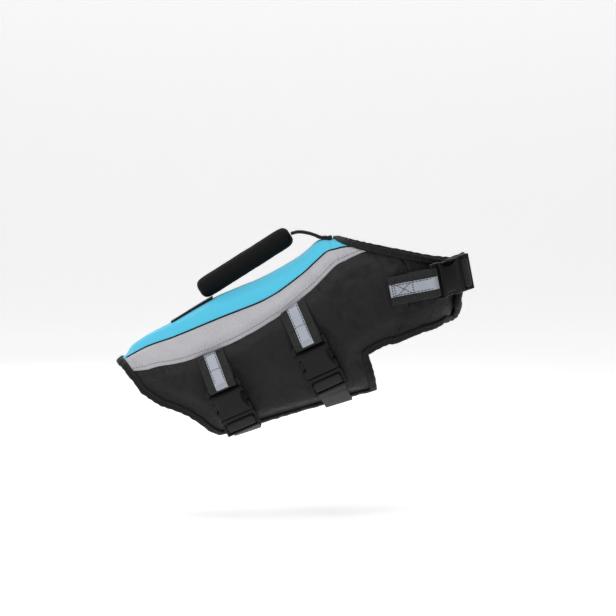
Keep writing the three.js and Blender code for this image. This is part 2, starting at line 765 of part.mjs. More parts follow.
// A chest flap between the chest seam, the neckline, the lap's end and the lower edge.
const NECK_SHARE = FLANK_SHARES[NECK_ROW];
const SEAM_SHARES = FLANK_SHARES.slice(NECK_ROW + 1).map((share) => (share - NECK_SHARE) / (1 - NECK_SHARE));
const FLAP_COLUMNS = [0, 0.09, ...SEAM_SHARES];
const FLAP_ROWS = [0, 0.08, 0.2, 0.3, 0.38, 0.46, 0.54, 0.62, 0.7, 0.81, 0.93, 1];
const FLAP_RISE = 10;
const RIGHT_LAP_STATION = 10.25;
const LEFT_LAP_STATION = 10.8;
function chestFlap(side, lap, lowStation, lift) {
  const lowGirth = halfGirth(lowStation) + lap;
  const lower = [...CHEST_LOWER_EDGE.slice(0, 3), { station: lowStation, girth: lowGirth }];
  const seam = (c) => {
    const [station, girth] = chestSeam(c);
    return [station, girth + SEAM_HALF_GAP];
  };
  const lapEnd = (c) => {
    const station = lerp(NECK, lowStation, c);
    return [station, halfGirth(station) + lap];
  };
  const top = (r) => [NECK, lerp(seam(0)[1], lapEnd(0)[1], r)];
  const bottom = (r) => {
    const girth = lerp(seam(1)[1], lowGirth, r);
    return [r === 0 ? seam(1)[0] : along(lower, 'girth', 'station', girth), girth];
  };
  const at = (i, j) => {
    const [c, r] = [FLAP_COLUMNS[i], FLAP_ROWS[j]];
    const blend = (n) => {
      const betweenEdges = lerp(top(r)[n], bottom(r)[n], c);
      const betweenSides = lerp(seam(c)[n], lapEnd(c)[n], r);
      const corners = lerp(lerp(seam(0)[n], lapEnd(0)[n], r), lerp(seam(1)[n], lapEnd(1)[n], r), c);
      return betweenEdges + betweenSides - corners;
    };
    return [blend(0), side * blend(1)];
  };
  const lastColumn = FLAP_COLUMNS.length - 1;
  const lastRow = FLAP_ROWS.length - 1;
  return new Panel({
    columns: lastColumn,
    rows: lastRow,
    at,
    isBound: (i, j, i2, j2) => {
      const neckOrLower = i === i2 && (i === 0 || i === lastColumn);
      return neckOrLower || (j === lastRow && j2 === lastRow);
    },
    base: lift,
    crown: FLAP_CROWN,
    rise: FLAP_RISE,
  });
}

// The thin wrap under the belly, tucked inside both flanks.
const WRAP_STATIONS = [3.15, 3.6, 4.2, 4.8, 5.4, 6, 6.5, 6.8];
const WRAP_SHARES = [-1, -0.8, -0.6, -0.4, -0.2, 0, 0.2, 0.4, 0.6, 0.8, 1];
const WRAP_HALF_GIRTH = FLANK_DROP + WRAP_TUCK - 2;
function bellyWrap() {
  return new Panel({
    columns: WRAP_STATIONS.length - 1,
    rows: WRAP_SHARES.length - 1,
    at: (i, j) => {
      const station = WRAP_STATIONS[i];
      return [station, halfGirth(station) + WRAP_SHARES[j] * WRAP_HALF_GIRTH];
    },
    crown: WRAP_THICK,
    edge: WRAP_THICK,
    folds: false,
  });
}

const flat = () => 0;
const panels = {
  back: backPanel(),
  band: { right: sideBand(-1), left: sideBand(1) },
  flank: { right: flank(-1), left: flank(1) },
  flap: {
    right: chestFlap(-1, LAP_RIGHT, RIGHT_LAP_STATION, flat),
    left: chestFlap(1, LAP_LEFT, LEFT_LAP_STATION, lapLift),
  },
  wrap: bellyWrap(),
};

// The height of whatever cloth is outermost at a place.
function outermost(station, signedGirth) {
  const half = halfGirth(station);
  let left = signedGirth > 0;
  let girth = Math.abs(signedGirth);
  if (girth > half) {
    left = !left;
    girth = 2 * half - girth;
  }
  const side = left ? 1 : -1;
  const name = left ? 'left' : 'right';
  const binding = BINDING_CLEAR + BINDING_THICK;
  let height;
  if (girth < column('backHalf', station)) height = panels.back.outer(station, side * girth);
  else if (girth < column('saddleHalf', station)) height = panels.band[name].outer(station, side * girth);
  else if (station <= LEG + 0.3) {
    const low = flankLow(Math.min(LEG, station));
    if (girth < low - BINDING_COVER - 3) height = panels.flank[name].outer(station, side * girth);
    else if (girth < low + 4) height = wrapLift(station, low) + EDGE_THICK + binding;
    else height = WRAP_THICK;
  } else {
    const share = (NECK - station) / (NECK - LEG_EDGE.at(-1).station);
    if (girth < chestSeam(share)[1]) height = panels.flank[name].outer(station, side * girth);
    else if (left) height = lapLift(station, girth) + FLAP_CROWN;
    else height = girth > half - LAP_LEFT - 2 ? LAP_LIFT + FLAP_CROWN + binding : FLAP_CROWN;
  }
  const toNeck = facePoint(station, signedGirth).distanceTo(facePoint(NECK, signedGirth));
  return toNeck < BINDING_COVER + 1.5 ? height + binding : height;
}

// A strap's middle line as a function of the girth walked from the right side: [station, signed girth].
function strapCurve(table) {
  const middle = halfGirth(table.at(-1).station);
  return (t) => {
    const girth = t <= middle ? t : 2 * middle - t;
    const station = along(table, 'girth', 'station', girth);
    return [station, t <= middle ? -girth : girth];
  };
}
function strapFrame(curve, t) {
  const [station, girth] = curve(t);
  const point = facePoint(station, girth);
  const normal = faceNormal(station, girth);
  const tangent = facePoint(...curve(t + 1)).sub(facePoint(...curve(t - 1)));
  tangent.addScaledVector(normal, -tangent.dot(normal)).normalize();
  return { station, girth, point, normal, tangent, wide: normal.clone().cross(tangent) };
}
// The highest cloth under the strap's width, measured from the inner face at its middle line.
function heightUnder(curve, t, halfWidth = WEBBING_WIDTH / 2) {
  const frame = strapFrame(curve, t);
  let best = -1e9;
  for (const share of [-1, -0.5, 0, 0.5, 1]) {
    const [u, v] = stepOver(frame.station, frame.girth, frame.wide, share * halfWidth);
    const top = place(u, v, outermost(Math.min(NECK, u), v)).point;
    best = Math.max(best, top.sub(frame.point).dot(frame.normal));
  }
  return best;
}
function strapVertex(curve, t, lift) {
  const { point, normal, wide } = strapFrame(curve, t);
  return { point: point.clone().addScaledVector(normal, heightUnder(curve, t) + lift), wide };
}

// Pulls a list of vertices taut round the garment: keeps those on its convex side, seen along its length.
const TAUT_STEP = 7;
function taut(list, lengthwise, middle) {
  const across = new THREE.Vector3(0, 1, 0);
  const other = lengthwise.clone().cross(across).normalize();
  const flatPoint = ({ point }) => [point.dot(across), point.dot(other)];
  const turn = (a, b, c) => {
    const [[ax, ay], [bx, by], [cx, cy]] = [flatPoint(a), flatPoint(b), flatPoint(c)];
    return (bx - ax) * (cy - by) - (by - ay) * (cx - bx);
  };
  const sense = Math.sign(turn({ point: middle }, list[0], list.at(-1)));
  const kept = [];
  for (const vertex of list) {
    while (kept.length > 1 && turn(kept.at(-2), kept.at(-1), vertex) * sense <= 1e-6) kept.pop();
    kept.push(vertex);
  }
  const fine = [kept[0]];
  for (let k = 1; k < kept.length; k += 1) {
    const pieces = Math.ceil(kept[k].point.distanceTo(kept[k - 1].point) / TAUT_STEP);
    for (let m = 1; m <= pieces; m += 1) {
      fine.push({
        point: kept[k - 1].point.clone().lerp(kept[k].point, m / pieces),
        wide: kept[k - 1].wide.clone().lerp(kept[k].wide, m / pieces).normalize(),
      });
    }
  }
  return fine;
}

// Where a buckle sits: low enough to rest on the cloth under it, its x axis along the strap.
const PROBE_FROM = -27;
const PROBE_TO = 30;
const PROBE_STEP = 3;
function buckleFrame(curve, middle) {
  const frame = strapFrame(curve, middle);
  const toLocal = new THREE.Matrix4().makeBasis(frame.tangent, frame.wide, frame.normal);
  toLocal.setPosition(frame.point);
  const back = toLocal.clone().invert();
  const webbingUnder = BUCKLE.frameHalfThick + 2 * (GAP + WEBBING_THICK);
  let rise = 0;
  for (let x = PROBE_FROM; x <= PROBE_TO; x += PROBE_STEP) {
    const at = strapFrame(curve, middle + x);
    for (const share of [-1, -0.5, 0, 0.5, 1]) {
      const [u, v] = stepOver(at.station, at.girth, at.wide, share * BUCKLE.halfWidth);
      const local = place(u, v, outermost(Math.min(NECK, u), v)).point.applyMatrix4(back);
      if (Math.abs(local.x) > BUCKLE.halfLength + 2) continue;
      const isShell = local.x > BUCKLE.shellStart + 1 && local.x < BUCKLE.femaleEnd + 1;
      rise = Math.max(rise, local.z + GAP + (isShell ? BUCKLE.shellHalfThick : webbingUnder));
    }
  }
  toLocal.setPosition(frame.point.clone().addScaledVector(frame.normal, rise));
  return toLocal;
}

// Solids for joins and cuts, made from three.js geometries, and back again.
function solidOf(geometry) {
  const bare = new THREE.BufferGeometry();
  bare.setAttribute('position', geometry.getAttribute('position'));
  bare.setIndex(geometry.index);
  const welded = mergeVertices(bare);
  return new wasm.Manifold(new wasm.Mesh({
    numProp: 3,
    vertProperties: new Float32Array(welded.getAttribute('position').array),
    triVerts: new Uint32Array(welded.index.array),
  }));
}
function geometryOf(solid, matrix) {
  const mesh = solid.getMesh();
  const made = new THREE.BufferGeometry();
  made.setAttribute('position', new THREE.Float32BufferAttribute(mesh.vertProperties, mesh.numProp));
  made.setIndex([...mesh.triVerts]);
  made.applyMatrix4(matrix);
  made.computeVertexNormals();
  return made;
}
function box(x0, x1, y0, y1, halfZ) {
  const made = new THREE.BoxGeometry(x1 - x0, Math.abs(y1 - y0), 2 * halfZ);
  made.translate((x0 + x1) / 2, (y0 + y1) / 2, 0);
  return solidOf(made);
}
const wideBox = (x0, x1, halfY, halfZ) => box(x0, x1, -halfY, halfY, halfZ);

// A flat block whose faces are bevelled: { from, to, halfWidth, halfThick } of its middle and of its faces.
function bevelled(middle, face) {
  const rectangle = ({ from, to, halfWidth }, z) => [
    new THREE.Vector3(from, -halfWidth, z),
    new THREE.Vector3(to, -halfWidth, z),
    new THREE.Vector3(to, halfWidth, z),
    new THREE.Vector3(from, halfWidth, z),
  ];
  return solidOf(loft([
    rectangle(face, -face.halfThick),
    rectangle(middle, -middle.halfThick),
    rectangle(middle, middle.halfThick),
    rectangle(face, face.halfThick),
  ]));
}

function femaleHalf() {
  const b = BUCKLE;
  const slotStart = -b.halfLength + b.barWidth;
  const throughThick = b.shellHalfThick + CUT_PAST;
  const shell = bevelled(
    { from: b.shellStart, to: b.femaleEnd, halfWidth: b.halfWidth, halfThick: b.frameHalfThick },
    {
      from: b.shellStart + b.shellRamp,
      to: b.femaleEnd - b.mouthBevel,
      halfWidth: b.halfWidth - b.shellBevel,
      halfThick: b.shellHalfThick,
    },
  );
  let made = wideBox(-b.halfLength, b.frameEnd, b.halfWidth, b.frameHalfThick)
    .subtract(wideBox(slotStart, slotStart + b.slotLength, b.slotHalfWidth, throughThick))
    .add(shell)
    .subtract(wideBox(b.cavityStart, b.femaleEnd + CUT_PAST, b.cavityHalfWidth, b.cavityHalfThick));
  for (const side of [-1, 1]) {
    const [inner, outer] = [side * b.notchInner, side * (b.halfWidth + CUT_PAST)];
    made = made.subtract(box(b.notchFrom, b.notchTo, inner, outer, throughThick));
  }
  return made;
}
function maleHalf() {
  const b = BUCKLE;
  const start = b.femaleEnd + GAP;
  const rootEnd = start + GAP;
  const slotOne = start + b.shoulderLength;
  const slotTwo = slotOne + b.slotLength + b.ladderBar;
  const throughThick = b.shellHalfThick + CUT_PAST;
  const shoulder = bevelled(
    {
      from: start,
      to: slotOne - b.shoulderInset,
      halfWidth: b.halfWidth - b.shoulderInset,
      halfThick: b.frameHalfThick,
    },
    {
      from: start,
      to: slotOne - b.shoulderInset - b.shoulderBevel,
      halfWidth: b.halfWidth - b.shoulderInset - b.shoulderBevel,
      halfThick: b.shoulderHalfThick,
    },
  );
  let made = wideBox(start, b.halfLength, b.halfWidth, b.frameHalfThick)
    .add(shoulder)
    .subtract(wideBox(slotOne, slotOne + b.slotLength, b.slotHalfWidth, throughThick))
    .subtract(wideBox(slotTwo, slotTwo + b.slotLength, b.slotHalfWidth, throughThick))
    .add(wideBox(b.tongueEnd, rootEnd, b.tongueHalfWidth, b.prongHalfThick));
  for (const side of [-1, 1]) {
    const [inner, outer, ear] = [side * b.armInner, side * b.armOuter, side * b.earOuter];
    const earStart = b.notchFrom + b.earClear;
    made = made
      .add(box(earStart, rootEnd, inner, outer, b.prongHalfThick))
      .add(box(earStart, b.notchTo - b.earClear, inner, ear, b.prongHalfThick));
  }
  return made;
}
const female = femaleHalf();
const male = maleHalf();

// A fastened strap: its upper length looped round the buckle's fixed bar, its lower length over the ladder.
const STRAP_STEP = 4;
const TURN = 1.3;
const HALF_TURN = 0.4;
const BUCKLE_CLEAR = 1.5;
const TAPE_INSET = 0.6;
function fasten(name, { curve, start, tack, buckle, far, lengthwise, middle }) {
  const matrix = buckleFrame(curve, buckle);
  const wide = new THREE.Vector3().setFromMatrixColumn(matrix, 1);
  const local = (x, z) => ({ point: new THREE.Vector3(x, 0, z).applyMatrix4(matrix), wide: wide.clone() });
  const half = WEBBING_THICK / 2;
  const clear = BUCKLE.frameHalfThick + GAP + half;
  const layer = WEBBING_THICK + GAP;
  const barEnd = -BUCKLE.halfLength;
  const barSlot = barEnd + BUCKLE.barWidth + GAP + half;

  const toBuckle = matrix.clone().invert();
  const within = (vertex) => vertex.point.clone().applyMatrix4(toBuckle).x;
  const outer = [];
  for (let t = start; t < buckle; t += STRAP_STEP) {
    const vertex = strapVertex(curve, t, GAP + half + (t > tack - STRAP_STEP ? layer : 0));
    if (within(vertex) < barEnd - BUCKLE_CLEAR) outer.push(vertex);
  }
  const upperOuter = taut([...outer, local(barEnd - 0.5, clear)], lengthwise, middle);
  const inner = [];
  for (let t = tack; t < buckle; t += STRAP_STEP) {
    const vertex = strapVertex(curve, t, GAP + half);
    if (within(vertex) < barEnd - BUCKLE_CLEAR) inner.push(vertex);
  }
  const upperInner = taut([...inner, local(barEnd - 0.5, -clear)], lengthwise, middle);
  const loop = [
    local(barSlot - TURN, clear),
    local(barSlot - HALF_TURN, clear - HALF_TURN),
    local(barSlot, clear - TURN),
    local(barSlot, TURN - clear),
    local(barSlot - HALF_TURN, HALF_TURN - clear),
    local(barSlot - TURN, -clear),
  ];
  const upper = [...upperOuter, ...loop, ...upperInner.reverse()];
  put(`${name}_upper`, ribbon(upper, WEBBING_WIDTH, WEBBING_THICK), materials.webbing);
  const tapeLift = half + GAP + TAPE_CLEAR + TAPE_THICK / 2;
  const nearTape = slicePath([...upperOuter, loop[0]], TAPE_INSET, -TAPE_INSET);
  put(`${name}_tape_near`, ribbon(nearTape, TAPE_WIDTH, TAPE_THICK, tapeLift), materials.reflective);

  const slotOne = BUCKLE.femaleEnd + GAP + BUCKLE.shoulderLength + BUCKLE.slotLength / 2;
  const slotTwo = slotOne + BUCKLE.slotLength + BUCKLE.ladderBar;
  const under = -clear - layer;
  const ladder = [
    local(BUCKLE.halfLength - 0.8, under),
    local(slotOne + TURN, under),
    local(slotOne + HALF_TURN, under + HALF_TURN),
    local(slotOne, under + TURN),
    local(slotOne, clear - TURN),
    local(slotOne + HALF_TURN, clear - HALF_TURN),
    local(slotOne + TURN, clear),
    local(slotTwo - TURN, clear),
    local(slotTwo - HALF_TURN, clear - HALF_TURN),
    local(slotTwo, clear - TURN),
    local(slotTwo, TURN - clear),
    local(slotTwo + HALF_TURN, HALF_TURN - clear),
    local(slotTwo + TURN, -clear),
  ];
  const standing = [local(BUCKLE.halfLength + 0.5, -clear)];
  for (let t = buckle; t < far + 0.5; t += STRAP_STEP) {
    const vertex = strapVertex(curve, t, GAP + half);
    if (within(vertex) > BUCKLE.halfLength + 2) standing.push(vertex);
  }
  const lower = taut(standing, lengthwise, middle);
  put(`${name}_lower`, ribbon([...ladder, ...lower], WEBBING_WIDTH, WEBBING_THICK), materials.webbing);
  const farTape = slicePath(lower, -FAR_TAPE, -TAPE_INSET);
  put(`${name}_tape_far`, ribbon(farTape, TAPE_WIDTH, TAPE_THICK, tapeLift), materials.reflective);

  put(`${name}_buckle_female`, geometryOf(female, matrix), materials.plastic);
  put(`${name}_buckle_male`, geometryOf(male, matrix), materials.plastic);
}

// Cloth.
put('back_panel', panels.back.geometry(), materials.blue);
for (const name of ['right', 'left']) {
  put(`side_band_${name}`, panels.band[name].geometry(), materials.reflective);
  put(`flank_${name}`, panels.flank[name].geometry(), materials.black);
  put(`chest_flap_${name}`, panels.flap[name].geometry(), materials.black);
}
put('belly_wrap', panels.wrap.geometry(), materials.black);

// Piping in the seam between the back panel and each band.
const PIPING_STATIONS = [0.62, ...SADDLE_STATIONS.slice(2, -2)];
const PIPING_SIDES = 6;
const PIPING_PROUD = 0.4;
for (const [name, side] of [['right', -1], ['left', 1]]) {
  const path = [];
  for (const station of PIPING_STATIONS) {
    const girth = column('backHalf', station);
    path.push(place(slanted(station, girth), side * girth, EDGE_THICK - PIPING_RADIUS + PIPING_PROUD));
  }
  const loops = path.map((spot, k) => {
    const before = path[Math.max(0, k - 1)].point;
    const after = path[Math.min(path.length - 1, k + 1)].point;
    const across = after.clone().sub(before).cross(spot.normal).normalize();
    return Array.from({ length: PIPING_SIDES }, (_, m) => {
      const angle = (2 * Math.PI * m) / PIPING_SIDES;
      return spot.point.clone()
        .addScaledVector(across, PIPING_RADIUS * Math.cos(angle))
        .addScaledVector(spot.normal, PIPING_RADIUS * Math.sin(angle));
    });
  });
  put(`piping_${name}`, loft(loops), materials.webbing);
}

// The lower edge from one lap round the leg edge, the belly edge and the tail to the other lap.
function rim(panel, i, j) {
  const [station, girth] = panel.at(i, j);
  return { station, girth, base: panel.base };
}
function downFrom(last, step = 1) {
  return Array.from({ length: last / step + 1 }, (_, k) => last - k * step);
}
const LAST_BACK_ROW = BACK_SHARES.length - 1;
const LAST_BAND_ROW = BAND_SHARES.length - 1;
const LAST_SADDLE_COLUMN = SADDLE_STATIONS.length - 1;
const LAST_FLAP_COLUMN = FLAP_COLUMNS.length - 1;
const LAST_FLAP_ROW = FLAP_ROWS.length - 1;
const LAST_REAR_COLUMN = FLANK_REAR.length - 1;
const LAST_FLANK_COLUMN = LAST_REAR_COLUMN + FLANK_FRONT.length;
function lowerRim(name) {
  const [flap, side] = [panels.flap[name], panels.flank[name]];
  const spots = downFrom(LAST_FLAP_ROW).map((j) => rim(flap, LAST_FLAP_COLUMN, j));
  for (let i = LAST_FLANK_COLUMN - 1; i >= LAST_REAR_COLUMN; i -= 1) {
    spots.push(rim(side, i, FLANK_CORNER_ROW));
  }
  for (let j = FLANK_CORNER_ROW + 1; j < FLANK_ROWS; j += 1) spots.push(rim(side, LAST_REAR_COLUMN, j));
  for (const i of downFrom(LAST_REAR_COLUMN)) spots.push(rim(side, i, FLANK_ROWS));
  return spots;
}
const tailRow = (name) => downFrom(LAST_BAND_ROW).map((j) => rim(panels.band[name], 0, j));
const lowerEdge = joined([
  ...lowerRim('right'),
  ...tailRow('right'),
  ...downFrom(LAST_BACK_ROW, 2).reverse().map((j) => rim(panels.back, 0, j)),
  ...tailRow('left').reverse(),
  ...lowerRim('left').reverse(),
  ...[1, 2, 3].map((k) => rim(panels.flap.left, LAST_FLAP_COLUMN - k, LAST_FLAP_ROW)),
]);
put('edge_binding_lower', edging(lowerEdge), materials.webbing);

// The neckline from one lap over the back to the other.
const neckRim = (name) => [
  ...downFrom(LAST_FLAP_ROW).map((j) => rim(panels.flap[name], 0, j)),
  ...downFrom(NECK_ROW).map((j) => rim(panels.flank[name], LAST_FLANK_COLUMN, j)),
  ...downFrom(LAST_BAND_ROW).map((j) => rim(panels.band[name], LAST_SADDLE_COLUMN, j)),
];
const neckEdge = joined([
  ...neckRim('left'),
  ...downFrom(LAST_BACK_ROW).map((j) => rim(panels.back, LAST_SADDLE_COLUMN, j)),
  ...neckRim('right').reverse(),
]);
put('edge_binding_neck', edging(neckEdge), materials.webbing);

// Straps.
const STRAP_INSET = 2;
const GIRTH_LENGTHWISE = new THREE.Vector3(0.88, 0, 0.47);
const NECK_LENGTHWISE = new THREE.Vector3(-0.2, 0, 1);
for (const strap of GIRTH_STRAPS) {
  const saddle = column('saddleHalf', strap.station);
  const half = halfGirth(strap.station);
  fasten(`${strap.name}_strap`, {
    curve: strapCurve([{ station: strap.station, girth: 0 }, { station: strap.station, girth: half }]),
    start: saddle + STRAP_INSET,
    tack: strap.tack,
    buckle: strap.buckle,
    far: 2 * half - saddle - STRAP_INSET,
    lengthwise: GIRTH_LENGTHWISE,
    middle: facePoint(strap.station, 0).lerp(facePoint(strap.station, half), 0.5),
  });
}
const neckFront = halfGirth(NECK_STRAP.frontStation);
fasten('neck_strap', {
  curve: strapCurve([...NECK_STRAP.path, { station: NECK_STRAP.frontStation, girth: neckFront }]),
  start: NECK_STRAP.path[0].girth,
  tack: NECK_STRAP.tack,
  buckle: NECK_STRAP.buckle,
  far: 2 * neckFront - NECK_STRAP.path[0].girth,
  lengthwise: NECK_LENGTHWISE,
  middle: new THREE.Vector3(NECK_STRAP.middleX, 0, NECK_STRAP.middleZ),
});

// Carry handle: a padded grip between two lengths of webbing.
const gripRear = new THREE.Vector3(HANDLE.rearX, 0, HANDLE.rearZ);
const gripFront = new THREE.Vector3(HANDLE.frontX, 0, HANDLE.frontZ);
const gripAxis = gripFront.clone().sub(gripRear).normalize();
const gripUp = new THREE.Vector3(-gripAxis.z, 0, gripAxis.x);
const gripSide = new THREE.Vector3(0, 1, 0);
const webSide = gripSide.clone().negate();
const gripLength = gripFront.distanceTo(gripRear);
const farEnds = HANDLE.ends.map(([inset, scale]) => [gripLength - inset, scale]).reverse();
const gripLoops = [...HANDLE.ends, ...farEnds]
  .map(([distance, scale]) => Array.from({ length: GRIP_SIDES }, (_, m) => {
    const angle = (2 * Math.PI * m) / GRIP_SIDES;
    return gripRear.clone().addScaledVector(gripAxis, distance)
      .addScaledVector(gripUp, scale * HANDLE.halfHeight * Math.sin(angle))
      .addScaledVector(gripSide, scale * HANDLE.halfWidth * Math.cos(angle));
  }));
put('handle_grip', loft(gripLoops), materials.grip);

const onBack = (station, thick) => {
  return place(station, 0, panels.back.outer(station, 0) + GAP + thick / 2).point;
};
const webbed = (points) => points.map((point) => ({ point, wide: webSide }));
const rearWeb = webbed(HANDLE.rearPatch.map((station) => onBack(station, WEBBING_THICK)));
put('handle_webbing_rear', ribbon(rearWeb, WEBBING_WIDTH, WEBBING_THICK), materials.webbing);
const frontWeb = webbed([
  gripFront.clone().addScaledVector(gripAxis, 3 * GAP),
  ...HANDLE.frontRise.map(([x, z]) => new THREE.Vector3(x, 0, z)),
  ...HANDLE.frontPatch.map((station) => onBack(station, HANDLE.frontThick)),
]);
put('handle_webbing_front', ribbon(frontWeb, WEBBING_WIDTH, HANDLE.frontThick), materials.webbing);

export default jacket;
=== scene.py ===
# A small life jacket held in its worn shape: foam panels with bound edges, webbing straps with reflective
# tape, side-release buckles, a padded carry handle and their stitching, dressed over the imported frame.
# Lengths are millimetres and turn to metres where a mesh is made.
import math

import bmesh
import bpy
import numpy as np
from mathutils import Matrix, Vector, noise


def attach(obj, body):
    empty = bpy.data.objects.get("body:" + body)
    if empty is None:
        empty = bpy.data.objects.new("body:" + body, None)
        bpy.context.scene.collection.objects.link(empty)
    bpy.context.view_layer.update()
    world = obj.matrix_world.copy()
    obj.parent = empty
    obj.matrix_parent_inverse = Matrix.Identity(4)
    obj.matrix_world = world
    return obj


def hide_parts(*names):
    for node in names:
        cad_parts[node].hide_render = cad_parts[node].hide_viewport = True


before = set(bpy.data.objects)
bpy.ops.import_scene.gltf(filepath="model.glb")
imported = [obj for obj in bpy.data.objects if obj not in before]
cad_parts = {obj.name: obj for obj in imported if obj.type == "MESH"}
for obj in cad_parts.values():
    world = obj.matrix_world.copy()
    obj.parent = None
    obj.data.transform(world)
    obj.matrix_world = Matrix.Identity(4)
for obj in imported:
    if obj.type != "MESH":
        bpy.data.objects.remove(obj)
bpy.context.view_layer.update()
MM = 0.001

# Camera: level with the jacket and square to its right side.
VIEW_TARGET = Vector((67.05, 0, -11.97))
VIEW_DISTANCE = 2200
VIEW_ELEVATION = math.radians(3)
VIEW_WIDTH = 554.4
SENSOR = 36


def make_camera():
    data = bpy.data.cameras.new("camera")
    data.sensor_width = SENSOR
    data.lens = SENSOR * VIEW_DISTANCE / VIEW_WIDTH
    data.clip_start = 0.05
    data.clip_end = 20
    camera = bpy.data.objects.new("camera", data)
    bpy.context.collection.objects.link(camera)
    back = Vector((0, -math.cos(VIEW_ELEVATION), math.sin(VIEW_ELEVATION)))
    camera.location = (VIEW_TARGET + back * VIEW_DISTANCE) * MM
    camera.rotation_euler = (-back).to_track_quat("-Z", "Y").to_euler()
    bpy.context.scene.camera = camera


make_camera()

# Driving dimensions.
WEBBING_WIDTH = 25
WEBBING_THICK = 1.6
TAPE_WIDTH = 11
TAPE_THICK = 0.5
GAP = 0.3
EDGE_THICK = 2.4
FOAM_THICK = 6
BAND_THICK = 5.4
FLAP_CROWN = 3
WRAP_THICK = 2.2
FOAM_RISE = 13
BINDING_COVER = 5.5
BINDING_THICK = 0.8
BINDING_CLEAR = 0.7
BINDING_MARGIN = BINDING_COVER + 1.6
SEAM_HALF_GAP = 0.05
RING_ROUNDNESS = 2.25
PIPING_RADIUS = 0.6
PIPING_HALF_SEAM = PIPING_RADIUS - 0.15
PIPING_PROUD = 0.4
THREAD_RADIUS = 0.22
STITCH_PITCH = 3.0

# Sections of the jacket's inner face from the tail to the neck, each a closed ring through its back point and
# its belly point. back_half and saddle_half are the girths of the back panel's and the band's lower edges.
SECTION_COLUMNS = ("back_x", "back_z", "belly_x", "belly_z", "half_width", "back_half", "saddle_half")
SECTIONS = (
    ("tail", -103, -61.5, -68.9, -135.3, 33, 9, 30),
    ("rump", -91.4, -52.9, -54.1, -133.3, 38.5, 15, 39),
    ("loin", -76.2, -42, -34.4, -129, 42.5, 21.5, 46.8),
    ("rear strap", -52.6, -29.4, -8.4, -121.4, 46, 29.5, 57),
    ("middle", -13.9, -7.4, 34, -107.8, 49, 38, 64.5),
    ("front strap", 26.6, 9.8, 78.3, -94.4, 52, 40, 61),
    ("rib", 56.3, 26.2, 110.7, -84.8, 54.5, 35.5, 56),
    ("leg opening", 69.8, 35.7, 126.9, -80.5, 55, 32, 53),
    ("brisket", 79.7, 44.8, 154.4, -68.7, 54, 31, 50),
    ("shoulder", 86, 47.2, 178.7, -46.2, 52, 32, 49),
    ("chest", 89.1, 48.3, 190, -24.6, 50, 33.5, 49.5),
    ("breast", 91.6, 48.8, 196.6, -3, 48, 37, 51),
    ("throat", 93.6, 49, 197.4, 15, 46, 38.5, 54),
    ("neck", 95.6, 49.2, 194.6, 29.5, 44.5, 40, 57),
)
NECK = len(SECTIONS) - 1
LEG = 7

# Outline tables: girth and station.
TAIL_EDGE = ((0, 0), (12, 0.1), (20, 0.28), (30, 0.45), (42, 0.65))
TAIL_REACH = 1.6
TAIL_LOW_GIRTH = 38
# Station and girth.
REAR_EDGE = (
    (0.583, TAIL_LOW_GIRTH),
    (0.85, 55),
    (1.15, 65),
    (1.45, 75),
    (1.9, 86),
    (2.3, 98),
    (2.55, 108),
    (2.7, 119),
    (2.9, 131),
)
LEG_CORNER_GIRTH = 131
LEG_CORNER_SHIFT = 0.28
LEG_EDGE = ((LEG + LEG_CORNER_SHIFT, LEG_CORNER_GIRTH), (7.7, 131.8), (8.1, 133.5))
FLANK_DROP = 22.2
WRAP_TUCK = 20
TUCK_LIFT = WRAP_THICK + GAP + BINDING_THICK + BINDING_CLEAR + 0.2
TUCK_RAMP = 16
SEAM_NECK_GIRTH = 76
CHEST_LOWER_EDGE = ((8.1, 133.5), (9.15, 143), (10, 159))
LAP_RIGHT = 15
LAP_LEFT = 20
LAP_RAMP = 28
LAP_LIFT = EDGE_THICK + 2 * (BINDING_THICK + BINDING_CLEAR) + 0.5
RIGHT_LAP_STATION = 10.25
LEFT_LAP_STATION = 10.8

# The largest folds: side, from station and girth, to station and girth, width and depth.
FOLDS = (
    (-1, 10.3, 96, 8.7, 132, 7, -1.3),
    (-1, 7.2, 122, 6.3, 92, 8, 1.2),
    (-1, 4.2, 118, 4.6, 88, 9, -1),
    (-1, 2.3, 104, 2.9, 84, 6, 1),
    (1, 10.1, 98, 8.8, 130, 8, -1.1),
    (1, 6.9, 118, 6.1, 88, 7, 1.1),
    (1, 4.4, 120, 4.2, 92, 10, -1),
)
# Smaller creases that only the cloth's face has, in the same columns.
CREASES = (
    (-1, 9.9, 100, 8.9, 126, 3.2, -0.9),
    (-1, 10.6, 108, 9.5, 136, 2.6, 0.7),
    (-1, 8.2, 120, 7.3, 96, 3.0, -0.7),
    (-1, 7.5, 128, 6.6, 112, 2.6, 0.8),
    (-1, 2.5, 110, 2.0, 80, 2.2, -0.7),
    (-1, 2.85, 124, 2.5, 96, 2.0, 0.7),
    (-1, 3.1, 128, 2.95, 104, 1.8, -0.6),
    (-1, 1.6, 74, 2.2, 62, 3.0, -0.6),
    (-1, 4.4, 128, 4.8, 104, 3.4, -0.6),
    (-1, 12.2, 86, 10.9, 92, 2.6, -0.6),
    (-1, 12.5, 104, 11.6, 98, 2.4, 0.5),
    (1, 9.8, 104, 8.8, 128, 3.2, -0.9),
    (1, 7.9, 122, 7.1, 98, 3.0, -0.7),
    (1, 2.6, 112, 2.1, 82, 2.4, -0.7),
    (1, 2.9, 126, 2.6, 100, 2.0, 0.6),
    (1, 4.5, 126, 4.7, 100, 3.4, -0.6),
    (1, 12.3, 88, 11, 94, 2.6, -0.6),
)

# Straps across the body: name, station, and the girths of the bar tack and of the buckle's middle.
GIRTH_STRAPS = (("rear_strap", 3.5, 77, 108), ("front_strap", 5.42, 82, 113))
STRAP_CLEAR = 17
FAR_TAPE = 62
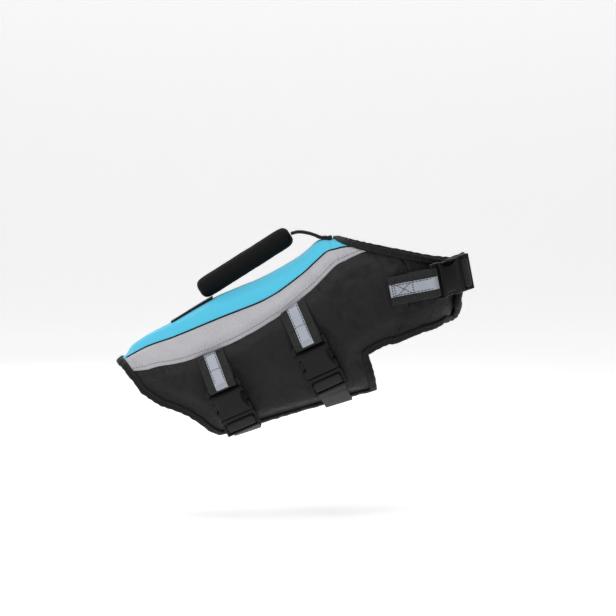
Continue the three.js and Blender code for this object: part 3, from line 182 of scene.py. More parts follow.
# The neck strap's middle line on the right side: station and girth.
NECK_PATH = ((9.45, 95), (10.5, 104), (11.5, 117.5), (12.3, 138))
NECK_FRONT_STATION = 12.6
NECK_MIDDLE = np.array((150.0, 0.0, 10.0))
NECK_TACK = 104
NECK_BUCKLE = 126
GIRTH_LENGTHWISE = np.array((0.88, 0.0, 0.47))
NECK_LENGTHWISE = np.array((-0.2, 0.0, 1.0))

# Carry handle: the grip's ends and half sizes, and the webbing's places behind and before it.
GRIP_REAR = np.array((-30.2, 0.0, 3.2))
GRIP_FRONT = np.array((50.9, 0.0, 54.6))
GRIP_HALF_HEIGHT = 9.5
GRIP_HALF_WIDTH = 11
GRIP_ENDS = ((0, 0.42), (0.5, 0.58), (1.2, 0.7), (2.1, 0.8), (3.2, 0.88), (5, 0.945), (7, 0.98), (10, 0.995))
REAR_PATCH = (3, 3.2, 3.4, 3.6, 3.8, 3.95)
FRONT_RISE = ((58.3, 56.6), (67, 55.6), (74, 53.4))
FRONT_PATCH = (8.25, 8.6, 9, 9.4, 9.8, 10.15)
FRONT_WEB_THICK = 2.8

# Side-release buckle in its own frame: x from the fixed bar to the ladder's end, y across, z out.
BUCKLE_HALF_LENGTH = 25
BUCKLE_HALF_WIDTH = 16
SHELL_HALF_THICK = 4.2
FRAME_HALF_THICK = 1.8
FEMALE_END = 7
BAR_WIDTH = 2.8
SLOT_LENGTH = 4.2
LADDER_BAR = 3
NOTCH_FROM = -12
NOTCH_TO = -2

# Lengthwise direction of the cloth, for the weave.
GRAIN = np.array((0.88, 0.0, 0.475))


def smooth(t):
    x = np.clip(t, 0, 1)
    return x * x * (3 - 2 * x)


def lerp(a, b, t):
    return a + (b - a) * t


def unit(v):
    return v / np.maximum(1e-12, np.linalg.norm(v, axis=-1, keepdims=True))


def walked_along(points):
    """Distance from the first point to each one, measured along them."""
    return np.concatenate([[0], np.cumsum(np.linalg.norm(np.diff(points, axis=0), axis=1))])


def turns(points):
    """Direction into and away from each point of a path, and their mean."""
    into, away = np.empty_like(points), np.empty_like(points)
    into[1:] = unit(np.diff(points, axis=0))
    away[:-1] = into[1:]
    into[0], away[-1] = away[0], into[-1]
    return into, away, unit(into + away)


def read_at(values, walked, distance):
    """The value at a distance along a path, each of its coordinates by straight-line interpolation."""
    return np.array([np.interp(distance, walked, values[:, k]) for k in range(3)])


def along(table, value, backward=False):
    """Straight-line interpolation of a two-column table, carried on past its ends."""
    xs, ys = np.array(table, dtype=float).T
    if backward:
        xs, ys = ys, xs
    k = np.clip(np.searchsorted(xs, value) - 1, 0, len(xs) - 2)
    return lerp(ys[k], ys[k + 1], (value - xs[k]) / (xs[k + 1] - xs[k]))


def spread(values, position):
    """The value at a fractional place in a list."""
    return np.interp(position, np.arange(len(values)), values)


def column(key, station):
    """Smooth value of a column of SECTIONS at a station."""
    values = np.array([row[1 + SECTION_COLUMNS.index(key)] for row in SECTIONS], dtype=float)
    padded = np.concatenate([[2 * values[0] - values[1]], values, [2 * values[-1] - values[-2]]])
    station = np.asarray(station, dtype=float)
    i = np.clip(np.floor(station), 0, NECK - 1).astype(int)
    t = station - i
    p0, p1, p2, p3 = (padded[i + k] for k in range(4))
    square = 2 * p0 - 5 * p1 + 4 * p2 - p3
    cube = 3 * p1 - p0 - 3 * p2 + p3
    return 0.5 * (2 * p1 + (p2 - p0) * t + square * t * t + cube * t * t * t)


def slanted(station, girth):
    """Carries a station forward near the slanted tail edge."""
    carried = along(TAIL_EDGE, np.minimum(np.abs(girth), TAIL_EDGE[-1][0]))
    return station + carried * np.maximum(0, 1 - station / TAIL_REACH)


class WornForm:
    """The jacket's inner face as a dense table of rings, read at a station and a signed girth."""

    first, step, count = -0.4, 0.02, 760
    turns = 181
    shares = 401

    def __init__(self):
        stations = self.first + self.step * np.arange(self.count)
        zero = np.zeros(self.count)
        back = np.stack([column("back_x", stations), zero, column("back_z", stations)], axis=1)
        belly = np.stack([column("belly_x", stations), zero, column("belly_z", stations)], axis=1)
        middle = (back + belly) / 2
        depth = np.linalg.norm(back - middle, axis=1)
        up = (back - middle) / depth[:, None]
        angle = np.linspace(0, math.pi, self.turns)
        c = np.abs(np.cos(angle))[None, :] / depth[:, None]
        s = np.abs(np.sin(angle))[None, :] / column("half_width", stations)[:, None]
        radius = (c**RING_ROUNDNESS + s**RING_ROUNDNESS) ** (-1 / RING_ROUNDNESS)
        points = middle[:, None, :] + up[:, None, :] * (radius * np.cos(angle))[:, :, None]
        points[:, :, 1] = radius * np.sin(angle)
        walked = np.zeros((self.count, self.turns))
        walked[:, 1:] = np.cumsum(np.linalg.norm(np.diff(points, axis=1), axis=2), axis=1)
        self.half = walked[:, -1]
        self.points = np.empty((self.count, self.shares, 3))
        for k in range(self.count):
            even = np.linspace(0, self.half[k], self.shares)
            for axis in range(3):
                self.points[k, :, axis] = np.interp(even, walked[k], points[k, :, axis])

    def place_in_table(self, station):
        row = np.clip((np.asarray(station, dtype=float) - self.first) / self.step, 0, self.count - 1.001)
        low = row.astype(int)
        return low, row - low

    def half_girth(self, station):
        low, t = self.place_in_table(station)
        return lerp(self.half[low], self.half[low + 1], t)

    def point(self, station, girth):
        station, girth = np.broadcast_arrays(np.asarray(station, float), np.asarray(girth, float))
        half = self.half_girth(station)
        past = np.abs(girth) > half
        walked = np.where(past, 2 * half - np.abs(girth), np.abs(girth))
        low, t = self.place_in_table(station)
        turn = np.clip(walked / half, 0, 1) * (self.shares - 1)
        left = np.minimum(turn.astype(int), self.shares - 2)
        s = (turn - left)[..., None]
        t = t[..., None]
        near = lerp(self.points[low, left], self.points[low, left + 1], s)
        far = lerp(self.points[low + 1, left], self.points[low + 1, left + 1], s)
        found = lerp(near, far, t)
        found[..., 1] = np.where((girth < 0) != past, -found[..., 1], found[..., 1])
        return found


form = WornForm()
half_girth = form.half_girth
face_point = form.point


def face_normal(station, girth):
    du = 0.05
    middle = np.clip(station, du, NECK - du)
    ahead = face_point(middle + du, girth) - face_point(middle - du, girth)
    across = face_point(station, girth + 1.0) - face_point(station, girth - 1.0)
    return unit(np.cross(ahead, across))


def place(station, girth, height):
    """Points at a height above the inner face."""
    return face_point(station, girth) + face_normal(station, girth) * np.asarray(height, float)[..., None]


def step_over(station, girth, direction, distance):
    """The station and girth reached by going a distance over the face, in short steps."""
    steps = 4
    u, v = (np.array(x, dtype=float) for x in np.broadcast_arrays(station, girth, distance)[:2])
    for _ in range(steps):
        here = face_point(u, v)
        along_u = (face_point(u + 0.02, v) - here) / 0.02
        along_v = (face_point(u, v + 0.5) - here) / 0.5
        a, b, c = (np.sum(x * y, axis=-1) for x, y in ((along_u,) * 2, (along_u, along_v), (along_v,) * 2))
        p, q = (np.sum(x * direction, axis=-1) for x in (along_u, along_v))
        size = (distance / steps) / (a * c - b * b)
        u = u + (p * c - q * b) * size
        v = v + (q * a - p * b) * size
    return u, v


def nearest_segment(points, starts, ends):
    """Distance from each point to the nearest of many segments."""
    best = np.full(len(points), 1e9)
    for a, b in zip(starts, ends):
        edge = b - a
        t = np.clip((points - a) @ edge / max(1e-9, edge @ edge), 0, 1)
        best = np.minimum(best, np.linalg.norm(points - a - t[:, None] * edge, axis=1))
    return best


def fold_height(station, girth, folds):
    points = face_point(station, girth)
    side = np.where(girth < 0, -1, 1)
    height = np.zeros(len(points))
    for fold_side, station_from, girth_from, station_to, girth_to, width, depth in folds:
        a = face_point(station_from, fold_side * girth_from)
        b = face_point(station_to, fold_side * girth_to)
        away = nearest_segment(points, [a], [b])
        height += np.where(side == fold_side, depth * np.exp(-((away / width) ** 2)), 0)
    return height


def mesh_object(name, points, faces, material, uvs=None, smooth_shade=True):
    """A mesh object from points in millimetres. uvs holds one pair for each point, in metres."""
    mesh = bpy.data.meshes.new(name)
    mesh.from_pydata((np.asarray(points) * MM).tolist(), [], [tuple(int(k) for k in f) for f in faces])
    mesh.materials.append(material)
    mesh.update()
    if uvs is not None:
        layer = mesh.uv_layers.new(name="cloth")
        corner = np.empty(len(mesh.loops), dtype=np.int32)
        mesh.loops.foreach_get("vertex_index", corner)
        layer.data.foreach_set("uv", np.asarray(uvs, dtype=np.float32)[corner].ravel())
    if smooth_shade:
        mesh.polygons.foreach_set("use_smooth", [True] * len(mesh.polygons))
    made = bpy.data.objects.new(name, mesh)
    bpy.context.collection.objects.link(made)
    fix = bmesh.new()
    fix.from_mesh(mesh)
    if fix.calc_volume(signed=True) < 0:
        bmesh.ops.reverse_faces(fix, faces=fix.faces)
    fix.to_mesh(mesh)
    fix.free()
    return made


def dress(made, slot, *nodes):
    """Puts a new piece on the jacket's body in place of the CAD nodes it stands for."""
    if nodes:
        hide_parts(*nodes)
    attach(made, "root")
    return made


# Cloth panels. Firm ones are the back panel and the bands, whose cloth is drawn tight.
FIRM_CRUMPLE = 0.25
SOFT_CRUMPLE = 1.0


class Panel:
    """A cut piece: a grid of places with some cells left out, a plain inner face and a padded outer one.

    at(i, j) gives station and girth at a place in the coarse grid, keep(i, j) says which cells are cloth and
    bound(i, j, i2, j2) which border edges are taped, for the pieces' thickness.
    """

    def __init__(
        self, columns, rows, at, crown, keep=None, bound=None, base=None,
        edge=EDGE_THICK, rise=FOAM_RISE, folds=FOLDS,
    ):
        self.columns = columns
        self.rows = rows
        self.at = at
        self.crown = crown
        self.keep = keep or (lambda i, j: True)
        self.base = base or (lambda station, girth: np.zeros(np.shape(station)))
        self.edge = edge
        self.rise = rise
        self.folds = folds
        firm = crown in (FOAM_THICK, BAND_THICK) and base is None
        self.crumple = FIRM_CRUMPLE if firm else SOFT_CRUMPLE
        bound = bound or (lambda i, j, i2, j2: False)
        self.seams = []
        self.bounds = []
        for i, j, i2, j2 in self.borders(columns, rows, self.has):
            (a, b), (c, d) = at(float(i), float(j)), at(float(i2), float(j2))
            ends = (face_point(a, b), face_point(c, d))
            (self.bounds if bound(i, j, i2, j2) else self.seams).append(ends)

    def has(self, i, j):
        return 0 <= i < self.columns and 0 <= j < self.rows and self.keep(i, j)

    @staticmethod
    def borders(columns, rows, has):
        """Edges of kept cells with no kept neighbour, in the cell's own turning sense."""
        for i in range(columns):
            for j in range(rows):
                if not has(i, j):
                    continue
                if not has(i, j - 1):
                    yield i, j, i + 1, j
                if not has(i + 1, j):
                    yield i + 1, j, i + 1, j + 1
                if not has(i, j + 1):
                    yield i + 1, j + 1, i, j + 1
                if not has(i - 1, j):
                    yield i, j + 1, i, j

    def reach(self, station, girth):
        """Distance to the nearest sewn seam and to the nearest taped edge."""
        points = face_point(station, girth)
        return tuple(
            nearest_segment(points, [e[0] for e in edges], [e[1] for e in edges])
            for edges in (self.seams, self.bounds)
        )

    def thickness(self, station, girth):
        station, girth = np.atleast_1d(station).astype(float), np.atleast_1d(girth).astype(float)
        from_seam, from_bound = self.reach(station, girth)
        fill = smooth(from_seam / self.rise) * smooth((from_bound - BINDING_MARGIN) / self.rise)
        fold = fold_height(station, girth, self.folds) * fill if self.folds else 0
        return self.edge + (self.crown - self.edge) * fill + fold

    def outer(self, station, girth):
        return self.base(station, girth) + self.thickness(station, girth)


SADDLE_REAR = (0, 0.45, 1, 1.6, 2.2, 2.8, 3.3, 3.8, 4.3, 4.8)
SADDLE_STATIONS = SADDLE_REAR + (5.3, 5.8, 6.4, 7, 7.7, 8.6, 9.1, 9.8, 11.3, NECK)
BACK_SHARES = (-1, -0.9, -0.72, -0.48, -0.24, 0, 0.24, 0.48, 0.72, 0.9, 1)
BAND_SHARES = (0, 0.14, 0.34, 0.6, 0.86, 1)
FLANK_TAIL = (0, 0.25, 0.5, 0.8, 1.2, 1.65, 2.05, 2.3, 2.45, 2.6)
FLANK_REAR = FLANK_TAIL + (2.75, 2.9, 3.3, 3.85, 4.4, 5, 5.6, 6.15, 6.6, LEG)
FLANK_FRONT = (0, 0.12, 0.3, 0.55, 0.8, 1)
FLANK_SHARES = (0, 0.08, 0.18, 0.34, 0.52, 0.72, 0.92, 1)
LOWER_SHARES = (0, 0.25, 0.5, 0.78, 1)
NECK_ROW = 2
CORNER_ROW = 7
FLANK_ROWS = 11
REAR_COLUMNS = len(FLANK_REAR) - 1
LEG_TOP_GIRTH = 53
FRONT_TOP_FROM = 53.25
FRONT_TOP_TO = 57.25
SEAM_TURN = FLANK_SHARES[NECK_ROW]
SEAM_SHARES = FLANK_SHARES[NECK_ROW + 1 :]
FLAP_COLUMNS = (0, 0.09) + tuple((share - SEAM_TURN) / (1 - SEAM_TURN) for share in SEAM_SHARES)
FLAP_ROWS = (0, 0.08, 0.2, 0.3, 0.38, 0.46, 0.54, 0.62, 0.7, 0.81, 0.93, 1)
WRAP_STATIONS = (3.15, 3.6, 4.2, 4.8, 5.4, 6, 6.5, 6.8)
WRAP_SHARES = (-1, -0.8, -0.6, -0.4, -0.2, 0, 0.2, 0.4, 0.6, 0.8, 1)
WRAP_MIDDLE_STATION = 5
WRAP_REACH = FLANK_DROP + WRAP_TUCK - 2


def back_panel():
    def at(i, j):
        station = spread(SADDLE_STATIONS, i)
        girth = spread(BACK_SHARES, j) * (column("back_half", station) - PIPING_HALF_SEAM)
        return slanted(station, girth), girth

    ends = len(SADDLE_STATIONS) - 1, len(BACK_SHARES) - 1
    return Panel(*ends, at, FOAM_THICK, bound=lambda i, j, i2, j2: i == i2)


def side_band(side):
    def at(i, j):
        station = spread(SADDLE_STATIONS, i)
        top = column("back_half", station) + PIPING_HALF_SEAM
        low = column("saddle_half", station) - SEAM_HALF_GAP
        girth = lerp(top, low, spread(BAND_SHARES, j))
        return slanted(station, girth), side * girth

    ends = len(SADDLE_STATIONS) - 1, len(BAND_SHARES) - 1
    return Panel(*ends, at, BAND_THICK, bound=lambda i, j, i2, j2: i == i2, rise=9)


def wrap_lift(station, girth):
    start = half_girth(station) - FLANK_DROP - WRAP_TUCK - TUCK_RAMP
    covered = smooth((station - 2) / 1.05) * (1 - smooth((station - LEG) / 0.8))
    return TUCK_LIFT * covered * smooth((np.abs(girth) - start) / TUCK_RAMP)


def flank_low(station):
    reach = half_girth(station) - FLANK_DROP
    return np.where(station <= REAR_EDGE[-1][0], along(REAR_EDGE, station), reach)


def chest_seam(share):
    """Station and girth of the chest seam, from the neckline (0) to the leg edge (1)."""
    return lerp(NECK, LEG_EDGE[-1][0], share), lerp(SEAM_NECK_GIRTH, LEG_EDGE[-1][1], share)


def flank(side):
    """A flank: a deep rear part and, past the leg opening's corner, a shallow front part."""
    corner_share = (LEG_CORNER_GIRTH - LEG_TOP_GIRTH) / (half_girth(LEG) - FLANK_DROP - LEG_TOP_GIRTH)

    def rear(i, j):
        station = spread(FLANK_REAR, i)
        top = column("saddle_half", station) + SEAM_HALF_GAP
        tail_girth = lerp(TAIL_LOW_GIRTH, TAIL_EDGE[-1][0], np.minimum(i, 1))
        low = flank_low(slanted(station, tail_girth))
        corner = lerp(top, low, corner_share)
        upper, lower = spread(FLANK_SHARES, j), spread(LOWER_SHARES, j - CORNER_ROW)
        girth = np.where(j <= CORNER_ROW, lerp(top, corner, upper), lerp(corner, low, lower))
        shift = LEG_CORNER_SHIFT * np.maximum(0, 1 + (i - REAR_COLUMNS) / 2)
        return slanted(station, girth) + shift * np.where(j <= CORNER_ROW, upper, 1 - lower), girth

    def front(i, j):
        share = spread(FLANK_FRONT, i - REAR_COLUMNS)
        row = spread(FLANK_SHARES, j)
        start = lerp(column("saddle_half", LEG) + SEAM_HALF_GAP, LEG_CORNER_GIRTH, row)
        neck = NECK, lerp(column("saddle_half", NECK) + SEAM_HALF_GAP, SEAM_NECK_GIRTH, row / SEAM_TURN)
        seam = chest_seam((row - SEAM_TURN) / (1 - SEAM_TURN))
        end = [np.where(row < SEAM_TURN, a, b) for a, b in zip(neck, seam)]
        station = lerp(LEG + LEG_CORNER_SHIFT * row, end[0], share)
        direct = lerp(start, end[1], share)
        top_pull = column("saddle_half", station) + SEAM_HALF_GAP - lerp(FRONT_TOP_FROM, FRONT_TOP_TO, share)
        last_row = np.clip((row - FLANK_SHARES[-2]) / (1 - FLANK_SHARES[-2]), 0, 1)
        low_pull = last_row * (along(LEG_EDGE, station) - direct)
        seam_pull = SEAM_HALF_GAP * share * np.minimum(j, 1)
        return station, direct + top_pull * (1 - row) ** 3 + low_pull - seam_pull

    def at(i, j):
        in_rear = np.asarray(i) <= REAR_COLUMNS
        rear_place, front_place = rear(i, j), front(i, j)
        station, girth = (np.where(in_rear, a, b) for a, b in zip(rear_place, front_place))
        return station, side * girth

    last = REAR_COLUMNS + len(FLANK_FRONT) - 1

    def bound(i, j, i2, j2):
        lower = j >= CORNER_ROW and j2 >= CORNER_ROW
        tail = i == 0 and i2 == 0
        neck = i == i2 == last and max(j, j2) <= NECK_ROW
        return lower or tail or neck

    def keep(i, j):
        return i < REAR_COLUMNS or j < CORNER_ROW

    return Panel(last, FLANK_ROWS, at, FOAM_THICK, keep=keep, bound=bound, base=wrap_lift)


def lap_lift(station, girth):
    """The left chest flap lifts off the right one's lap."""
    start = half_girth(station) - LAP_RIGHT - LAP_RAMP - 4
    return LAP_LIFT * smooth((np.abs(girth) - start) / LAP_RAMP)


def chest_flap(side, lap, low_station, lift=None):
    """A chest flap between the chest seam, the neckline, the lap's end and the lower edge."""
    low_girth = half_girth(low_station) + lap
    lower = CHEST_LOWER_EDGE + ((low_station, low_girth),)

    def seam(c):
        station, girth = chest_seam(c)
        return station, girth + SEAM_HALF_GAP

    def lap_end(c):
        station = lerp(NECK, low_station, c)
        return station, half_girth(station) + lap

    def bottom(r):
        girth = lerp(seam(1)[1], low_girth, r)
        started = np.minimum(1, np.asarray(r) / FLAP_ROWS[1])
        return lerp(seam(1)[0], along(lower, girth, backward=True), started), girth

    def at(i, j):
        c, r = spread(FLAP_COLUMNS, i), spread(FLAP_ROWS, j)
        top = NECK + 0 * r, lerp(seam(0)[1], lap_end(0)[1], r)
        low, near, far = bottom(r), seam(c), lap_end(c)
        corners = seam(0), lap_end(0), seam(1), lap_end(1)
        place_of = [
            (1 - c) * top[n] + c * low[n] + (1 - r) * near[n] + r * far[n]
            - (1 - c) * (1 - r) * corners[0][n] - (1 - c) * r * corners[1][n]
            - c * (1 - r) * corners[2][n] - c * r * corners[3][n]
            for n in (0, 1)
        ]
        return place_of[0], side * place_of[1]

    last = len(FLAP_COLUMNS) - 1, len(FLAP_ROWS) - 1

    def bound(i, j, i2, j2):
        return (i == i2 and i in (0, last[0])) or (j == last[1] and j2 == last[1])

    return Panel(*last, at, FLAP_CROWN, bound=bound, base=lift, rise=10)


def belly_wrap():
    def at(i, j):
        station = spread(WRAP_STATIONS, i)
        return station, half_girth(station) + spread(WRAP_SHARES, j) * WRAP_REACH

    ends = len(WRAP_STATIONS) - 1, len(WRAP_SHARES) - 1
    return Panel(*ends, at, WRAP_THICK, edge=WRAP_THICK, folds=())


SIDES = (("right", -1), ("left", 1))
panels = {"back_panel": back_panel(), "belly_wrap": belly_wrap()}
for side_name, side_sign in SIDES:
    panels[f"side_band_{side_name}"] = side_band(side_sign)
    panels[f"flank_{side_name}"] = flank(side_sign)
panels["chest_flap_right"] = chest_flap(-1, LAP_RIGHT, RIGHT_LAP_STATION)
panels["chest_flap_left"] = chest_flap(1, LAP_LEFT, LEFT_LAP_STATION, lap_lift)


def outermost(station, signed_girth):
    """The height of whatever cloth is outermost at one place."""
    half = half_girth(station)
    left = signed_girth > 0
    girth = abs(signed_girth)
    if girth > half:
        left = not left
        girth = 2 * half - girth
    name, side = ("left", 1) if left else ("right", -1)
    tape = BINDING_CLEAR + BINDING_THICK

    def top_of(panel):
        return float(panels[panel].outer(station, side * girth)[0])

    if girth < column("back_half", station):
        height = top_of("back_panel")
    elif girth < column("saddle_half", station):
        height = top_of(f"side_band_{name}")
    elif station <= LEG + 0.3:
        low = flank_low(min(LEG, station))
        if girth < low - BINDING_COVER - 3:
            height = top_of(f"flank_{name}")
        elif girth < low + 4:
            height = wrap_lift(station, low) + EDGE_THICK + tape
        else:
            height = WRAP_THICK
    else:
        share = (NECK - station) / (NECK - LEG_EDGE[-1][0])
        if girth < chest_seam(share)[1]:
            height = top_of(f"flank_{name}")
        elif left:
            height = lap_lift(station, girth) + FLAP_CROWN
        else:
            height = LAP_LIFT + FLAP_CROWN + tape if girth > half - LAP_LEFT - 2 else FLAP_CROWN
    to_neck = np.linalg.norm(face_point(station, signed_girth) - face_point(NECK, signed_girth))
    return height + tape if to_neck < BINDING_COVER + 1.5 else height


# Straps, measured by the girth walked from the right side of the spine.
class StrapLine:
    def __init__(self, table):
        self.table = table
        self.middle = float(half_girth(table[-1][0]))

    def at(self, t):
        """Station and signed girth."""
        girth = min(t, 2 * self.middle - t)
        station = self.table[0][0]
        if len(self.table) > 1:
            station = float(along(self.table, min(girth, self.middle), backward=True))
        return station, -girth if t <= self.middle else girth

    def frame(self, t):
        station, girth = self.at(t)
        point = face_point(station, girth)
        normal = face_normal(station, girth)
        tangent = face_point(*self.at(t + 1)) - face_point(*self.at(t - 1))
        tangent = unit(tangent - (tangent @ normal) * normal)
        return station, girth, point, normal, tangent, np.cross(normal, tangent)

    def vertex(self, t, lift):
        """A place on the highest cloth under the strap's width, and the direction of that width."""
        station, girth, point, normal, _, wide = self.frame(t)
        best = -1e9
        for share in (-1, -0.5, 0, 0.5, 1):
            u, v = step_over(station, girth, wide, share * WEBBING_WIDTH / 2)
            top = place(u, v, outermost(min(NECK, float(u)), float(v)))
            best = max(best, (top - point) @ normal)
        return point + normal * (best + lift), wide


def taut(path, lengthwise, middle):
    """Keeps the vertices on the body's convex side, seen along its length, and fills long gaps."""
    across = np.array((0.0, 1.0, 0.0))
    other = unit(np.cross(lengthwise, across))

    def turn(a, b, c):
        (ax, ay), (bx, by), (cx, cy) = ((p @ across, p @ other) for p in (a, b, c))
        return (bx - ax) * (cy - by) - (by - ay) * (cx - bx)

    sense = math.copysign(1, turn(middle, path[0][0], path[-1][0]))
    kept = []
    for vertex in path:
        while len(kept) > 1 and turn(kept[-2][0], kept[-1][0], vertex[0]) * sense <= 1e-6:
            kept.pop()
        kept.append(vertex)
    fine = [kept[0]]
    for (point, wide), (next_point, next_wide) in zip(kept, kept[1:]):
        pieces = math.ceil(np.linalg.norm(next_point - point) / 7)
        for m in range(1, pieces + 1):
            fine.append((lerp(point, next_point, m / pieces), unit(lerp(wide, next_wide, m / pieces))))
    return fine


def buckle_matrix(line, middle):
    """Where a buckle sits: as low as the cloth under it lets it, its x axis along the strap."""
    _, _, point, normal, tangent, wide = line.frame(middle)
    basis = np.stack([tangent, wide, normal], axis=1)
    rise = 0
    for x in range(-27, 31, 3):
        station, girth, _, _, _, across = line.frame(middle + x)
        for share in (-1, -0.5, 0, 0.5, 1):
            u, v = step_over(station, girth, across, share * BUCKLE_HALF_WIDTH)
            top = (place(u, v, outermost(min(NECK, float(u)), float(v))) - point) @ basis
            if abs(top[0]) > BUCKLE_HALF_LENGTH + 2:
                continue
            in_shell = abs(top[0] + 4) < 12
            under = -SHELL_HALF_THICK if in_shell else -FRAME_HALF_THICK - 2 * (GAP + WEBBING_THICK)
            rise = max(rise, top[2] + GAP - under)
    return basis, point + normal * rise


# Materials.
class Shader:
    """A node tree being wired up, with the cloth's flat coordinates in millimetres at hand."""

    def __init__(self, name, roughness, sheen=0.0, specular=0.3):
        self.material = bpy.data.materials.new(name)
        self.material.use_nodes = True
        self.tree = self.material.node_tree
        self.surface = self.tree.nodes["Principled BSDF"]
        self.surface.inputs["Roughness"].default_value = roughness
        self.surface.inputs["Specular IOR Level"].default_value = specular
        self.surface.inputs["Sheen Weight"].default_value = sheen
        self.surface.inputs["Sheen Roughness"].default_value = 0.5

    def node(self, kind, inputs=(), **settings):
        made = self.tree.nodes.new(kind)
        for key, value in settings.items():
            setattr(made, key, value)
        for key, value in dict(inputs).items():
            if isinstance(value, bpy.types.NodeSocket):
                self.tree.links.new(value, made.inputs[key])
            else:
                made.inputs[key].default_value = value
        return made

    def coordinates(self, kind):
        """Coordinates of one kind, turned from metres to millimetres."""
        inputs = {"Vector": self.node("ShaderNodeTexCoord").outputs[kind], "Scale": (1 / MM,) * 3}
        return self.node("ShaderNodeMapping", inputs).outputs["Vector"]

    def cloth(self):
        return self.coordinates("UV")

    def space(self):
        return self.coordinates("Object")

    def math(self, operation, *values):
        inputs = dict(enumerate(values))
        return self.node("ShaderNodeMath", inputs, operation=operation).outputs[0]

    def parts(self, vector):
        return self.node("ShaderNodeSeparateXYZ", {"Vector": vector}).outputs

    def ripple(self, value, pitch, phase=0.0):
        """A smooth wave from 0 to 1, once each pitch."""
        turned = self.math("MULTIPLY_ADD", value, 2 * math.pi / pitch, phase)
        return self.math("MULTIPLY_ADD", self.math("SINE", turned), 0.5, 0.5)

    def noise(self, vector, scale, detail=2.0, roughness=0.5):
        inputs = {"Vector": vector, "Scale": scale, "Detail": detail, "Roughness": roughness}
        return self.node("ShaderNodeTexNoise", inputs).outputs["Fac"]

    def ramp(self, value, *stops):
        made = self.node("ShaderNodeValToRGB", {"Fac": value})
        elements = made.color_ramp.elements
        while len(elements) < len(stops):
            elements.new(0.5)
        for element, (position, colour) in zip(elements, stops):
            element.position = position
            element.color = (*colour, 1)
        return made.outputs["Color"]

    def colour(self, value):
        self.tree.links.new(value, self.surface.inputs["Base Color"])

    def roughness(self, value):
        self.tree.links.new(value, self.surface.inputs["Roughness"])

    def bump(self, *layers):
        """Each layer is a height from 0 to 1 with its depth in millimetres and its strength."""
        normal = None
        for height, depth, strength in layers:
            inputs = {"Height": height, "Distance": depth * MM, "Strength": strength}
            if normal is not None:
                inputs["Normal"] = normal
            normal = self.node("ShaderNodeBump", inputs).outputs["Normal"]
        self.tree.links.new(normal, self.surface.inputs["Normal"])


def linear(r, g, b):
    """Scene colour of a screen colour given from 0 to 255."""
    return tuple((c / 255 / 12.92) if c <= 10 else ((c / 255 + 0.055) / 1.055) ** 2.4 for c in (r, g, b))


def shade(colour, factor):
    return tuple(min(1.0, c * factor) for c in colour)


def woven(name, colour, pitch, depth, mottle, crumple, roughness, sheen, specular=0.3):
    """Plain weave: two sets of threads over and under each other, with uneven yarn and a crumpled face."""
    shader = Shader(name, roughness, sheen, specular)
    flat = shader.cloth()
    axis = shader.parts(flat)
    warp = shader.ripple(axis["X"], pitch)
    weft = shader.ripple(axis["Y"], pitch)
    over = shader.math("ABSOLUTE", shader.math("SUBTRACT", warp, weft))
    yarn = shader.noise(flat, 0.9, 3.0, 0.6)
    space = shader.space()
    broad = shader.noise(space, 0.045, 3.0, 0.55)
    folded = shader.noise(space, 0.1, 2.0, 0.45)
    tone = shader.math("MULTIPLY_ADD", broad, mottle, shader.math("MULTIPLY", yarn, mottle * 0.6))
    tone = shader.math("MULTIPLY_ADD", over, mottle * 0.5, tone)
    middle = mottle * 1.05
    shader.colour(
        shader.ramp(
            shader.math("ADD", tone, 0.5 - middle),
            (0.3, shade(colour, 1 - 0.5 * mottle)),
            (0.5, colour),
            (0.7, shade(colour, 1 + 0.9 * mottle)),
        )
    )
    shader.bump((over, depth, 0.6), (yarn, depth * 1.6, 0.35), (folded, crumple, 0.8), (broad, 0.8, 0.25))
    return shader.material


def ribbed(name, colour, pitch, depth, roughness, sheen, specular):
    """Narrow woven tape: cross ribs, with lengthwise rows of warp threads. U is across and V along it."""
    shader = Shader(name, roughness, sheen, specular)
    flat = shader.cloth()
    axis = shader.parts(flat)
    row = shader.ripple(axis["X"], pitch * 2.4)
    shifted = shader.math("MULTIPLY_ADD", row, pitch * 0.5, axis["Y"])
    rib = shader.ripple(shifted, pitch)
    fuzz = shader.noise(flat, 1.4, 2.0)
    tone = shader.math("MULTIPLY_ADD", rib, 0.35, shader.math("MULTIPLY", fuzz, 0.5))
    tone = shader.math("MULTIPLY_ADD", row, 0.15, tone)
    shader.colour(shader.ramp(tone, (0.15, shade(colour, 0.6)), (0.5, colour), (0.9, shade(colour, 1.7))))
    shader.bump((rib, depth, 0.7), (row, depth * 0.8, 0.5), (fuzz, depth, 0.25))
    return shader.material


def glass_bead_tape(name, colour):
    """Reflective tape: a silvery face with a fine diamond grid pressed in it."""
    shader = Shader(name, 0.42, 0.0, 0.5)
    shader.surface.inputs["Metallic"].default_value = 0.25
    flat = shader.cloth()
    axis = shader.parts(flat)
    one = shader.ripple(shader.math("ADD", axis["X"], axis["Y"]), 1.5)
    two = shader.ripple(shader.math("SUBTRACT", axis["X"], axis["Y"]), 1.5)
    grid = shader.math("MAXIMUM", one, two)
    speckle = shader.noise(flat, 2.6, 3.0, 0.7)
    tone = shader.math("MULTIPLY_ADD", grid, -0.35, shader.math("MULTIPLY", speckle, 1.1))
    shader.colour(shader.ramp(tone, (0.05, shade(colour, 0.72)), (0.35, colour), (0.6, shade(colour, 1.12))))
    shader.bump((grid, 0.05, 0.4), (speckle, 0.05, 0.3))
    return shader.material


